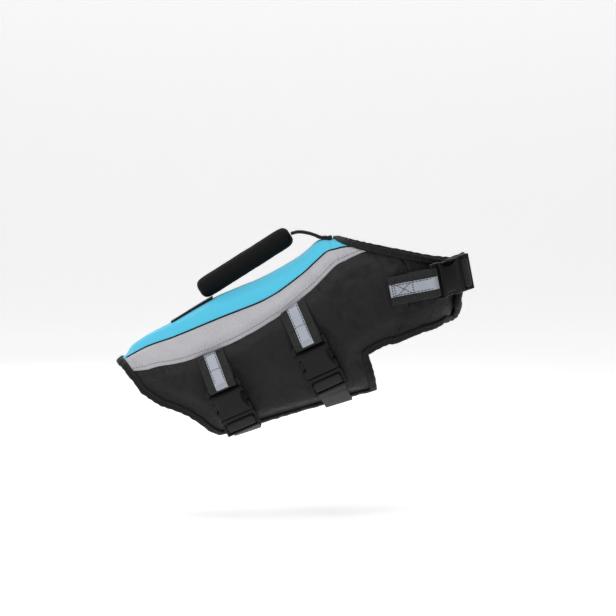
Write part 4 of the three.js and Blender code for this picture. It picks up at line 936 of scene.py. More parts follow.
def band_cloth(name, colour):
    """Light grey shell cloth of the side bands, with a coarse slub and small dark flecks."""
    shader = Shader(name, 0.72, 0.1, 0.3)
    flat = shader.cloth()
    axis = shader.parts(flat)
    warp = shader.ripple(axis["X"], 0.9)
    weft = shader.ripple(axis["Y"], 0.9)
    over = shader.math("ABSOLUTE", shader.math("SUBTRACT", warp, weft))
    slub = shader.noise(flat, 0.55, 4.0, 0.7)
    broad = shader.noise(shader.space(), 0.05, 3.0)
    tone = shader.math("MULTIPLY_ADD", slub, 0.7, shader.math("MULTIPLY", broad, 0.35))
    tone = shader.math("MULTIPLY_ADD", over, 0.08, tone)
    stops = ((0.3, shade(colour, 0.78)), (0.55, colour), (0.75, shade(colour, 1.14)))
    shader.colour(shader.ramp(tone, *stops))
    shader.bump((over, 0.12, 0.5), (slub, 0.25, 0.4), (broad, 0.8, 0.25))
    return shader.material


def moulded(name, colour):
    """Buckle plastic: satin, with a fine spark-eroded grain and slight waviness."""
    shader = Shader(name, 0.4, 0.0, 0.2)
    space = shader.space()
    grain = shader.noise(space, 4.0, 2.0)
    haze = shader.noise(space, 0.25, 3.0)
    shader.colour(shader.ramp(haze, (0.3, shade(colour, 0.85)), (0.7, shade(colour, 1.25))))
    rough = shader.math("MULTIPLY_ADD", haze, 0.16, 0.36)
    shader.roughness(rough)
    shader.bump((grain, 0.03, 0.5), (haze, 0.12, 0.3))
    return shader.material


def foam_cover(name, colour):
    """Handle grip cover: matt stretch cloth over foam, with a fine knit and small pits."""
    shader = Shader(name, 0.8, 0.02, 0.18)
    flat = shader.cloth()
    axis = shader.parts(flat)
    wale = shader.ripple(axis["X"], 0.8)
    course = shader.ripple(shader.math("ADD", axis["Y"], axis["X"]), 1.1)
    knit = shader.math("MULTIPLY", wale, course)
    pits = shader.noise(shader.space(), 1.1, 3.0, 0.65)
    broad = shader.noise(shader.space(), 0.12, 2.0)
    tone = shader.math("MULTIPLY_ADD", pits, 0.6, shader.math("MULTIPLY", broad, 0.4))
    shader.colour(shader.ramp(tone, (0.35, shade(colour, 0.6)), (0.55, colour), (0.75, shade(colour, 2.1))))
    shader.bump((knit, 0.14, 0.5), (pits, 0.3, 0.4), (broad, 0.6, 0.3))
    return shader.material


def thread(name, colour):
    shader = Shader(name, 0.6, 0.2, 0.3)
    twist = shader.noise(shader.space(), 3.0, 1.0)
    shader.colour(shader.ramp(twist, (0.3, shade(colour, 0.75)), (0.7, shade(colour, 1.3))))
    shader.bump((twist, 0.05, 0.4))
    return shader.material


BLUE = linear(72, 185, 216)
GREY = linear(169, 168, 173)
BLACK = linear(17, 17, 18)
WEB_BLACK = linear(14, 14, 15)
SILVER = linear(152, 157, 167)
PLASTIC = linear(6, 6, 7)
GRIP = linear(5, 5, 6)

blue_cloth = woven("blue_shell", BLUE, 0.8, 0.1, 0.16, 0.5, 0.62, 0.1)
grey_cloth = band_cloth("grey_shell", GREY)
black_cloth = woven("black_shell", BLACK, 0.9, 0.12, 0.9, 2.6, 0.56, 0.02, 0.24)
webbing_cloth = ribbed("webbing", WEB_BLACK, 1.3, 0.22, 0.6, 0.05, 0.3)
binding_cloth = ribbed("binding", shade(WEB_BLACK, 0.85), 0.9, 0.14, 0.7, 0.02, 0.2)
silver_tape = glass_bead_tape("reflective_tape", SILVER)
plastic = moulded("buckle", PLASTIC)
grip_cover = foam_cover("grip", GRIP)
black_thread = thread("black_thread", linear(26, 26, 28))
strap_thread = thread("strap_thread", linear(22, 22, 28))
dark_thread = thread("dark_thread", linear(84, 86, 94))


# Cloth faces.
FINE = 8
SEAM_ROLL = 2.4
TOPSTITCH_INSET = 3.2
PUCKER_PITCH = 5.5
PUCKER_DEPTH = 0.28
SEAM_PUCKER_PLACE = 4.2
SEAM_PUCKER_WIDTH = 2.6
TAPE_PUCKER_PLACE = 2.5
TAPE_PUCKER_WIDTH = 2.4
BROAD_CREASE_SCALE = 0.036
FINE_CREASE_SCALE = 0.07
CLOTH_SHARP_ANGLE = math.radians(62)
SPINE_PATCHES = ((2.9, 4.0), (8.1, 9.3))


def strap_line(station):
    return StrapLine(((station, float(half_girth(station))),))


strap_lines = {name: strap_line(station) for name, station, _, _ in GIRTH_STRAPS}
neck_front = (NECK_FRONT_STATION, float(half_girth(NECK_FRONT_STATION)))
strap_lines["neck_strap"] = StrapLine(NECK_PATH + (neck_front,))


def strap_middles():
    """Segments of the straps' and the handle webbing's middle lines, on the inner face."""
    segments = []
    for line in strap_lines.values():
        start = 50 if len(line.table) == 1 else NECK_PATH[0][1] - 2
        walk = np.arange(start, 2 * line.middle - start, 6)
        points = [face_point(*line.at(t)) for t in walk]
        segments += list(zip(points, points[1:]))
    for start, end in SPINE_PATCHES:
        points = [face_point(station, 0) for station in np.linspace(start, end, 5)]
        segments += list(zip(points, points[1:]))
    return [a for a, _ in segments], [b for _, b in segments]


MIDDLE_STARTS, MIDDLE_ENDS = strap_middles()


def grain_noise(points, scale, seed):
    offset = Vector((seed * 7.3, seed * 3.1, seed * 5.7))
    return np.array([noise.noise(Vector(p) * scale + offset) for p in points])


def crinkle(points, scale, seed):
    """Crooked creases: narrow troughs where a broad noise passes through zero, deeper in some parts."""
    field = grain_noise(points, scale, seed)
    strength = smooth(0.5 + 2.2 * grain_noise(points, 0.6 * scale, seed + 1))
    return strength * np.exp(-((field / 0.11) ** 2))


def face_height(panel, station, girth):
    """A panel's outer face, with what its solid leaves out: rolled seams, puckers and small creases."""
    from_seam, from_bound = panel.reach(station, girth)
    points = face_point(station, girth)
    free_edge = smooth((from_bound - BINDING_MARGIN) / panel.rise)
    fill = smooth(from_seam / panel.rise) * free_edge
    height = panel.edge + (panel.crown - panel.edge) * fill
    if panel.folds:
        height += fold_height(station, girth, panel.folds) * fill
    rounded = np.sqrt(1 - (1 - np.clip(from_seam / SEAM_ROLL, 0, 1)) ** 2)
    height *= lerp(0.5, 1, rounded)
    free = smooth((nearest_segment(points, MIDDLE_STARTS, MIDDLE_ENDS) - STRAP_CLEAR) / 6)
    past_tape = smooth((from_bound - BINDING_MARGIN) / 4)
    away = points @ GRAIN
    wave = np.sin(2 * math.pi * away / PUCKER_PITCH + 5 * grain_noise(points, 0.05, 1))
    beside_seam = (from_seam - SEAM_PUCKER_PLACE) / SEAM_PUCKER_WIDTH
    beside_tape = (from_bound - BINDING_MARGIN - TAPE_PUCKER_PLACE) / TAPE_PUCKER_WIDTH
    sewn = np.exp(-(beside_seam**2)) + np.exp(-(beside_tape**2))
    detail = PUCKER_DEPTH * wave * sewn
    detail += 0.35 * grain_noise(points, 0.035, 2) + 0.16 * grain_noise(points, 0.11, 3)
    if panel.folds:
        detail += fold_height(station, girth, CREASES) * smooth(from_seam / 6)
        broad_creases = crinkle(points, BROAD_CREASE_SCALE, 8)
        detail -= panel.crumple * (broad_creases + 0.7 * crinkle(points, FINE_CREASE_SCALE, 11))
    return height + detail * free * past_tape * smooth(from_seam / 2)


def panel_mesh(name, material):
    """The whole cut piece as one closed shell on its solid's form."""
    panel = panels[name]
    columns, rows = panel.columns * FINE, panel.rows * FINE

    def has(i, j):
        return 0 <= i < columns and 0 <= j < rows and panel.keep(i // FINE, j // FINE)

    cells = [(i, j) for i in range(columns) for j in range(rows) if has(i, j)]
    corners = sorted({(i + a, j + b) for i, j in cells for a in (0, 1) for b in (0, 1)})
    index = {corner: k for k, corner in enumerate(corners)}
    count = len(corners)
    i, j = np.array(corners, dtype=float).T / FINE
    station, girth = panel.at(i, j)
    base = panel.base(station, girth)
    height = face_height(panel, station, girth)
    points = np.concatenate([place(station, girth, base), place(station, girth, base + height)])
    faces = []
    for i, j in cells:
        around = [index[i, j], index[i + 1, j], index[i + 1, j + 1], index[i, j + 1]]
        faces.append([k + count for k in around])
        faces.append(around[::-1])
    for i, j, i2, j2 in Panel.borders(columns, rows, has):
        a, b = index[i, j], index[i2, j2]
        faces.append((b + count, a + count, a, b))
    flat = np.stack([points @ GRAIN, np.tile(girth, 2)], axis=1) * MM
    made = mesh_object(f"{name}_cloth", points, faces, material, flat)
    made.data.set_sharp_from_angle(angle=CLOTH_SHARP_ANGLE)
    return made


CLOTH = {
    "back_panel": (blue_cloth, "blue_shell"),
    "side_band_right": (grey_cloth, "grey_shell"),
    "side_band_left": (grey_cloth, "grey_shell"),
    "flank_right": (black_cloth, "black_shell"),
    "flank_left": (black_cloth, "black_shell"),
    "chest_flap_right": (black_cloth, "black_shell"),
    "chest_flap_left": (black_cloth, "black_shell"),
    "belly_wrap": (black_cloth, "black_shell"),
}
for panel_name, (cloth_material, cloth_slot) in CLOTH.items():
    piece = dress(panel_mesh(panel_name, cloth_material), cloth_slot, panel_name)
wrap_stations = np.linspace(WRAP_STATIONS[0], WRAP_STATIONS[-1], 40)
wrap_girth = half_girth(WRAP_MIDDLE_STATION) - WRAP_TUCK
wrap_along = float(walked_along(face_point(wrap_stations, wrap_girth))[-1])


# Thread.
STITCH_SHAPE = ((0, -0.3), (0.14, 0.08), (0.5, 0.2), (0.86, 0.08), (1, -0.3))
THREAD_SIDES = 6


def stitch_mesh(name, stitches, material, radius=THREAD_RADIUS):
    """Many short threads: each dips into the cloth at both ends. stitches holds start, end and normal."""
    starts, ends, normals = (np.array([s[k] for s in stitches]) for k in range(3))
    forward = unit(ends - starts)
    across = unit(np.cross(forward, normals))
    up = np.cross(across, forward)
    points = []
    for share, rise in STITCH_SHAPE:
        middle = lerp(starts, ends, share) + up * rise
        for side in range(THREAD_SIDES):
            turn = 2 * math.pi * side / THREAD_SIDES
            points.append(middle + radius * (across * math.cos(turn) + up * math.sin(turn)))
    points = np.stack(points, axis=1).reshape(-1, 3)
    each = len(STITCH_SHAPE) * THREAD_SIDES
    pattern = []
    for ring in range(len(STITCH_SHAPE) - 1):
        for side in range(THREAD_SIDES):
            a = ring * THREAD_SIDES + side
            b = ring * THREAD_SIDES + (side + 1) % THREAD_SIDES
            pattern.append((a, b, b + THREAD_SIDES, a + THREAD_SIDES))
    pattern.append(tuple(range(THREAD_SIDES))[::-1])
    pattern.append(tuple(range(each - THREAD_SIDES, each)))
    faces = [tuple(k + s * each for k in face) for s in range(len(stitches)) for face in pattern]
    return mesh_object(name, points, faces, material)


def spaced(points, normals, pitch=STITCH_PITCH, gap=0.7):
    """Stitches laid end to end along a line of points on the cloth."""
    points, normals = np.array(points), np.array(normals)
    walked = walked_along(points)
    count = max(1, int(walked[-1] / pitch))
    marks = np.linspace(0, walked[-1], count + 1)

    def at(values, distance):
        return np.stack([np.interp(distance, walked, values[:, k]) for k in range(3)], axis=-1)

    starts, ends = at(points, marks[:-1] + gap / 2), at(points, marks[1:] - gap / 2)
    return list(zip(starts, ends, unit(at(normals, (marks[:-1] + marks[1:]) / 2))))


def cloth_row(panel_name, station, girth, lift=0.05):
    """Points and normals on a panel's outer face."""
    panel = panels[panel_name]
    station, girth = np.broadcast_arrays(np.asarray(station, float), np.asarray(girth, float))
    height = panel.base(station, girth) + face_height(panel, station, girth) + lift
    return place(station, girth, height), face_normal(station, girth)


def band_stitches():
    rows = []
    for side_name, side in SIDES:
        station = np.linspace(0.35, 12.55, 220)
        girth = column("saddle_half", station) - TOPSTITCH_INSET
        rows += spaced(*cloth_row(f"side_band_{side_name}", slanted(station, girth), side * girth))
    return rows


def chest_stitches():
    rows = []
    for side_name, side in SIDES:
        station, girth = chest_seam(np.linspace(0.09, 0.9, 80))
        rows += spaced(*cloth_row(f"flank_{side_name}", station, side * (girth - 3.0)))
        rows += spaced(*cloth_row(f"chest_flap_{side_name}", station, side * (girth + 3.0)))
    return rows


def wrap_stitches():
    rows = []
    for station in (WRAP_STATIONS[0] + 0.12, WRAP_STATIONS[-1] - 0.1):
        half = half_girth(station)
        girth = half + np.linspace(-FLANK_DROP, FLANK_DROP, 30)
        rows += spaced(*cloth_row("belly_wrap", np.full(30, station), girth))
    return rows


dress(stitch_mesh("band_topstitch", band_stitches(), dark_thread), "grey_shell")
dress(stitch_mesh("chest_topstitch", chest_stitches(), black_thread), "black_shell")
dress(stitch_mesh("belly_topstitch", wrap_stitches(), black_thread), "black_shell")


def tube(name, points, radii, material, sides=12):
    """A closed tube, its ends capped flat, and flat cloth coordinates round and along it."""
    points = np.array(points)
    tangents = unit(np.gradient(points, axis=0))
    up = np.array((0.0, 0.0, 1.0))
    walked = walked_along(points)
    rows, uvs = [], []
    for k, (point, tangent) in enumerate(zip(points, tangents)):
        across = unit(np.cross(tangent, up))
        other = np.cross(across, tangent)
        for side in range(sides):
            turn = 2 * math.pi * side / sides
            rows.append(point + radii[k] * (across * math.cos(turn) + other * math.sin(turn)))
            uvs.append((radii[k] * turn * MM, walked[k] * MM))
    faces = tube_faces(len(points), sides)
    return mesh_object(name, rows, faces, material, uvs)


def tube_faces(rows, sides):
    faces = []
    for k in range(rows - 1):
        for side in range(sides):
            a, b = k * sides + side, k * sides + (side + 1) % sides
            faces.append((a, b, b + sides, a + sides))
    faces.append(tuple(range(sides))[::-1])
    faces.append(tuple(range((rows - 1) * sides, rows * sides)))
    return faces


def piping(side_name, side):
    station = np.linspace(0.62, 11.3, 260)
    girth = column("back_half", station)
    points = place(slanted(station, girth), side * girth, EDGE_THICK - PIPING_RADIUS + PIPING_PROUD)
    radii = np.full(len(station), PIPING_RADIUS)
    radii[[0, -1]] *= 0.4
    radii[[1, -2]] *= 0.8
    return tube(f"piping_{side_name}_cord", points, radii, binding_cloth)


for side_name, side_sign in SIDES:
    dress(piping(side_name, side_sign), "webbing", f"piping_{side_name}")


# Edge tape folded over the rims of the cloth.
RIM_STEPS = 6
SHARP_TURN = math.radians(28)
SHARP_CLEAR = 6.3
GATHER_PITCH = 7.5


def corner_places(panel_name, cells):
    return [(panel_name, float(i), float(j)) for i, j in cells]


def lower_rim(name):
    flap_columns, flap_rows = len(FLAP_COLUMNS) - 1, len(FLAP_ROWS) - 1
    flank_last = REAR_COLUMNS + len(FLANK_FRONT) - 1
    cells = corner_places(f"chest_flap_{name}", [(flap_columns, j) for j in range(flap_rows, -1, -1)])
    front = [(i, CORNER_ROW) for i in range(flank_last - 1, REAR_COLUMNS - 1, -1)]
    leg = [(REAR_COLUMNS, j) for j in range(CORNER_ROW + 1, FLANK_ROWS)]
    belly = [(i, FLANK_ROWS) for i in range(REAR_COLUMNS, -1, -1)]
    return cells + corner_places(f"flank_{name}", front + leg + belly)


def tail_row(name):
    return corner_places(f"side_band_{name}", [(0, j) for j in range(5, -1, -1)])


def neck_rim(name):
    last_saddle, last_flank = len(SADDLE_STATIONS) - 1, REAR_COLUMNS + len(FLANK_FRONT) - 1
    flap = corner_places(f"chest_flap_{name}", [(0, j) for j in range(len(FLAP_ROWS) - 1, -1, -1)])
    side = corner_places(f"flank_{name}", [(last_flank, j) for j in (2, 1, 0)])
    return flap + side + corner_places(f"side_band_{name}", [(last_saddle, j) for j in range(5, -1, -1)])


def rim_spots(places):
    """Cells and points along a rim, closer together than the solids' and clear of sharp corners."""
    coarse = []
    for panel_name, i, j in places:
        station, girth = (float(x) for x in panels[panel_name].at(i, j))
        point = face_point(station, girth)
        if coarse and np.linalg.norm(point - coarse[-1][1]) < 1.4:
            continue
        coarse.append(((panel_name, i, j), point))
    points = [point for _, point in coarse]
    sharp = []
    for a, b, c in zip(points, points[1:], points[2:]):
        turn = math.acos(float(np.clip(unit(b - a) @ unit(c - b), -1, 1)))
        if turn > SHARP_TURN:
            sharp.append(b)
    spots = []
    for (here, point), (after, _) in zip(coarse, coarse[1:]):
        spots.append((here, point))
        if here[0] != after[0]:
            continue
        for step in range(1, RIM_STEPS):
            share = step / RIM_STEPS
            between = (here[0], lerp(here[1], after[1], share), lerp(here[2], after[2], share))
            station, girth = (float(x) for x in panels[between[0]].at(between[1], between[2]))
            found = face_point(station, girth)
            if all(np.linalg.norm(found - corner) > SHARP_CLEAR for corner in sharp):
                spots.append((between, found))
    spots.append(coarse[-1])
    kept = spots[:1]
    for spot in spots[1:]:
        if np.linalg.norm(spot[1] - kept[-1][1]) > 0.7:
            kept.append(spot)
    return kept


def binding_profile():
    """Places across the tape: reach into the cloth and height from the middle of its edge."""
    inside = EDGE_THICK / 2 + BINDING_CLEAR
    outside = inside + BINDING_THICK
    rim = -GAP - BINDING_THICK
    turned = [
        (0.9 + (0.9 - rim) * math.cos(turn), outside * math.sin(turn))
        for turn in np.linspace(math.pi / 2, 3 * math.pi / 2, 9)
    ]
    top = [(BINDING_COVER, inside), (BINDING_COVER + 0.05, outside - 0.3), (BINDING_COVER - 0.3, outside)]
    top.append((BINDING_COVER / 2 + 0.5, outside + 0.12))
    bottom = [(reach, -height) for reach, height in reversed(top)]
    return top + turned + bottom + [(-GAP, -inside), (-GAP, inside)]


def binding(name, places):
    spots = rim_spots(places)
    points = np.array([point for _, point in spots])
    profile = np.array(binding_profile())
    into, away, tangent = turns(points)
    place_of = [tuple(float(x) for x in panels[cell[0]].at(cell[1], cell[2])) for cell, _ in spots]
    station, girth = np.array(place_of).T
    inward = unit(np.cross(tangent, face_normal(station, girth)))
    outer_corner = np.sum((away - into) * inward, axis=1) > 0
    mitre = np.minimum(1.5, 1 / np.maximum(0.1, np.sum(tangent * into, axis=1)))
    mitre = np.where(outer_corner, mitre, 1.0)
    walked = walked_along(points)
    gather = np.sin(2 * math.pi * walked / GATHER_PITCH + 5 * grain_noise(points, 0.05, 5))
    slack = 1 + (0.1 * grain_noise(points, 0.16, 4) + 0.09 * gather)[:, None]
    loose = 0.22 * (1 + np.roll(gather, 1))[:, None] * (profile[None, :, 0] < 0)
    reach = (profile[None, :, 0] - loose) * mitre[:, None]
    u, v = step_over(station[:, None], girth[:, None], inward[:, None, :], reach)
    base = np.array([panels[cell[0]].base(u[k], v[k]) for k, (cell, _) in enumerate(spots)])
    rows = place(u, v, base + EDGE_THICK / 2 + profile[None, :, 1] * slack)
    count, sides = rows.shape[:2]
    around = walked_along(profile)
    uvs = np.stack(np.broadcast_arrays(around[None, :], walked[:, None]), axis=-1).reshape(-1, 2) * MM
    made = mesh_object(f"{name}_tape", rows.reshape(-1, 3), tube_faces(count, sides), binding_cloth, uvs)
    dress(made, "webbing", name)
    sewn = []
    for side_sign in (1, -1):
        reach = np.full((count, 1), BINDING_COVER - 1.4) * mitre[:, None]
        u, v = step_over(station[:, None], girth[:, None], inward[:, None, :], reach)
        base = np.array([panels[cell[0]].base(u[k], v[k]) for k, (cell, _) in enumerate(spots)])
        lift = EDGE_THICK / 2 + side_sign * (EDGE_THICK / 2 + BINDING_CLEAR + BINDING_THICK + 0.08) * slack
        normals = face_normal(u, v)[:, 0] * side_sign
        sewn += spaced(place(u, v, base + lift)[:, 0], normals)
    dress(stitch_mesh(f"{name}_stitches", sewn, black_thread), "webbing")
    return made, walked[-1]


lower_places = lower_rim("right") + tail_row("right")
lower_places += corner_places("back_panel", [(0, j) for j in range(0, 11, 2)])
lower_places += tail_row("left")[::-1] + lower_rim("left")[::-1]
lap_columns, lap_rows = len(FLAP_COLUMNS) - 1, len(FLAP_ROWS) - 1
lower_places += corner_places("chest_flap_left", [(lap_columns - k, lap_rows) for k in (1, 2, 3)])
neck_places = neck_rim("left")
neck_places += corner_places("back_panel", [(len(SADDLE_STATIONS) - 1, j) for j in range(10, -1, -1)])
neck_places += neck_rim("right")[::-1]
BINDINGS = {"edge_binding_lower": lower_places, "edge_binding_neck": neck_places}
for binding_name, binding_places in BINDINGS.items():
    piece, length = binding(binding_name, binding_places)


# Webbing.
SKEW_REACH = 9


def rounded_path(path, pieces):
    """Runs a smooth curve through the vertices of a path, timed by the root of their spacing."""
    points = [2 * path[0][0] - path[1][0], *(p for p, _ in path), 2 * path[-1][0] - path[-2][0]]
    wides = [path[0][1], *(w for _, w in path), path[-1][1]]
    made = []
    for k in range(1, len(points) - 2):
        p0, p1, p2, p3 = points[k - 1 : k + 3]
        t0 = 0.0
        t1 = t0 + math.sqrt(np.linalg.norm(p1 - p0)) + 1e-6
        t2 = t1 + math.sqrt(np.linalg.norm(p2 - p1)) + 1e-6
        t3 = t2 + math.sqrt(np.linalg.norm(p3 - p2)) + 1e-6
        for m in range(pieces):
            t = lerp(t1, t2, m / pieces)
            a1 = lerp(p0, p1, (t - t0) / (t1 - t0))
            a2 = lerp(p1, p2, (t - t1) / (t2 - t1))
            a3 = lerp(p2, p3, (t - t2) / (t3 - t2))
            b1 = lerp(a1, a2, (t - t0) / (t2 - t0))
            b2 = lerp(a2, a3, (t - t1) / (t3 - t1))
            made.append((lerp(b1, b2, (t - t1) / (t2 - t1)), unit(lerp(wides[k], wides[k + 1], m / pieces))))
    made.append(path[-1])
    return made


def ribbon_profile(width, thick):
    """A flat band's outline: places across it and out of it, with rounded edges and a faint crown."""
    half, radius = width / 2, thick * 0.46
    crown = 0.06 * thick
    edge = [
        (half - radius + radius * math.cos(turn), thick / 2 * math.sin(turn))
        for turn in np.linspace(-math.pi / 2, math.pi / 2, 7)
    ]
    across = np.linspace(half - radius, radius - half, 7)[1:-1]
    top = [(s, thick / 2 + crown * (1 - (s / half) ** 2)) for s in across]
    return edge + top + [(-s, -n) for s, n in edge] + [(-s, -n) for s, n in top]


def ribbon(name, path, width, thick, material, lift=0.0, pieces=3, skew=0.0):
    """Webbing swept along a path of points with the direction of its width; lift moves it outwards.

    skew is the slope of its first end, which is cut along a seam.
    """
    path = rounded_path(path, pieces)
    points = np.array([p for p, _ in path])
    wide = np.array([w for _, w in path])
    into, _, tangent = turns(points)
    mitre = np.minimum(1.6, 1 / np.maximum(0.2, np.sum(tangent * into, axis=1)))
    out = unit(np.cross(tangent, wide))
    across = np.cross(out, tangent)
    profile = ribbon_profile(width, thick)
    walked = walked_along(points)
    waver = 0.12 * np.sin(walked / 7.0)[:, None]
    slope = skew * np.maximum(0, 1 - walked / SKEW_REACH)[:, None]
    rows = np.stack(
        [
            points
            + across * (s + waver * (abs(s) > width * 0.4))
            + out * ((lift + n) * mitre[:, None])
            + tangent * (slope * s)
            for s, n in profile
        ],
        axis=1,
    )
    uvs = np.stack(np.broadcast_arrays(np.array([s for s, _ in profile])[None, :], walked[:, None]), axis=-1)
    faces = tube_faces(len(points), len(profile))
    return mesh_object(name, rows.reshape(-1, 3), faces, material, uvs.reshape(-1, 2) * MM)


def path_slice(path, start, end):
    """The part of a path between two distances along it; below zero they count from its end."""
    points = np.array([p for p, _ in path])
    wides = np.array([w for _, w in path])
    walked = walked_along(points)
    start = walked[-1] + start if start < 0 else start
    end = walked[-1] + end if end <= 0 else end
    inner = walked[(walked > start + 0.5) & (walked < end - 0.5)]
    places = (start, *inner, end)
    return [(read_at(points, walked, d), unit(read_at(wides, walked, d))) for d in places]


def strap_row(path, lines, lift, pitch=STITCH_PITCH):
    """Stitches on a strap. Each line is a list of distance along the strap and offset across it."""
    points = np.array([p for p, _ in path])
    wide = np.array([w for _, w in path])
    walked = walked_along(points)
    tangent = unit(np.gradient(points, axis=0))
    out = unit(np.cross(tangent, wide))
    total = walked[-1]
    stitches = []
    for line in lines:
        ends = [(total + d if d < 0 else d, s) for d, s in line]
        places, normals = [], []
        for (d0, s0), (d1, s1) in zip(ends, ends[1:]):
            for share in np.linspace(0, 1, 2 + int(abs(d1 - d0) / 4)):
                d, s = lerp(d0, d1, share), lerp(s0, s1, share)
                normal = unit(read_at(out, walked, d))
                across = unit(read_at(wide, walked, d))
                places.append(read_at(points, walked, d) + across * s + normal * lift)
                normals.append(normal)
        stitches += spaced(places, normals, pitch)
    return stitches


# Buckles, in their own frame.
def ring_offset(outline, inset):
    """A closed outline drawn in by a distance along its corners' middle lines."""
    points = np.array(outline, dtype=float)
    before = unit(points - np.roll(points, 1, axis=0))
    after = unit(np.roll(points, -1, axis=0) - points)
    middle = unit(before + after)
    inward = np.stack([-middle[:, 1], middle[:, 0]], axis=1)
    stretch = 1 / np.maximum(0.5, np.sum(middle * after, axis=1))
    return points + inward * (inset * stretch)[:, None]


def rounded_corners(corners, radius, steps=4):
    """A polygon with each corner turned in an arc. Corners run anticlockwise."""
    made = []
    count = len(corners)
    for k in range(count):
        before, here, after = (np.array(corners[(k + d) % count], dtype=float) for d in (-1, 0, 1))
        into, away = here - before, after - here
        cut = min(radius, np.linalg.norm(into) * 0.45, np.linalg.norm(away) * 0.45)
        start, end = here - unit(into) * cut, here + unit(away) * cut
        for t in np.linspace(0, 1, steps + 1):
            made.append(lerp(lerp(start, here, t), lerp(here, end, t), t))
    return made


def plate(outline, layers):
    """A solid of layers, each an inset and a height from bottom to top. Gives points and faces."""
    rings = [np.column_stack([ring_offset(outline, inset), np.full(len(outline), z)]) for inset, z in layers]
    return np.concatenate(rings), tube_faces(len(rings), len(outline))


def rounded_layers(half_thick, edge):
    """Layers of a plate with both faces' edges rounded."""
    quarter = np.linspace(0, math.pi / 2, 4)
    lower = [(edge * (1 - math.sin(t)), -half_thick + edge * (1 - math.cos(t))) for t in quarter]
    return lower + [(inset, -z) for inset, z in reversed(lower)]


def block(x0, x1, y0, y1, half_thick, edge=0.7, radius=1.0):
    corners = [(x0, y0), (x1, y0), (x1, y1), (x0, y1)]
    return plate(rounded_corners(corners, radius), rounded_layers(half_thick, edge))


def side_release_female():
    notch = 12.2
    corners = [(-17.4, -BUCKLE_HALF_WIDTH), (NOTCH_FROM - 1, -BUCKLE_HALF_WIDTH), (NOTCH_FROM, -notch)]
    corners += [(NOTCH_TO, -notch), (NOTCH_TO + 1.4, -BUCKLE_HALF_WIDTH)]
    corners.append((FEMALE_END, -BUCKLE_HALF_WIDTH + 0.5))
    corners += [(x, -y) for x, y in reversed(corners)]
    shell = plate(rounded_corners(corners, 1.6), rounded_layers(SHELL_HALF_THICK, 1.5))
    y = BUCKLE_HALF_WIDTH
    pieces = [shell, block(-BUCKLE_HALF_LENGTH, -22.2, -y, y, FRAME_HALF_THICK, 0.9, 1.4)]
    pieces += [block(-BUCKLE_HALF_LENGTH + 0.6, -16, s * 14.65 - 1.35, s * 14.65 + 1.35, FRAME_HALF_THICK)
               for s in (-1, 1)]
    pieces.append(block(-18, -15.5, -y + 0.3, y - 0.3, FRAME_HALF_THICK))
    lip = SHELL_HALF_THICK - 0.35
    pieces.append(block(-15.4, -14.2, -10.5, 10.5, lip + 0.7, 0.4, 0.5))
    return pieces


def side_release_male():
    y = BUCKLE_HALF_WIDTH
    start = FEMALE_END + GAP
    slot_one = FEMALE_END + 4.3
    slot_two = slot_one + SLOT_LENGTH + LADDER_BAR
    pieces = [block(start, slot_one, -y + 0.2, y - 0.2, 3.3, 1.0, 1.2)]
    pieces += [block(start + 1, BUCKLE_HALF_LENGTH, s * 14.65 - 1.35, s * 14.65 + 1.35, FRAME_HALF_THICK)
               for s in (-1, 1)]
    pieces.append(block(slot_one + SLOT_LENGTH, slot_two, -y + 0.5, y - 0.5, FRAME_HALF_THICK, 0.8))
    pieces.append(block(slot_two + SLOT_LENGTH, BUCKLE_HALF_LENGTH, -y, y, FRAME_HALF_THICK, 0.8, 1.2))
    for side in (-1, 1):
        near, far, tip = side * 9.2, side * 11.7, side * 15.1
        pieces.append(block(NOTCH_FROM + 0.6, start + 0.5, min(near, far), max(near, far), 2.2))
        pieces.append(block(NOTCH_FROM + 0.7, NOTCH_TO - 0.5, min(near, tip), max(near, tip), 2.2, 0.9, 2.6))
    return pieces


def buckle_half(name, pieces, matrix):
    basis, origin = matrix
    points, faces, start = [], [], 0
    for part_points, part_faces in pieces:
        points.append(part_points @ basis.T + origin)
        faces += [tuple(k + start for k in face) for face in part_faces]
        start += len(part_points)
    made = mesh_object(name, np.concatenate(points), faces, plastic)
    made.data.set_sharp_from_angle(angle=math.radians(38))
    return made


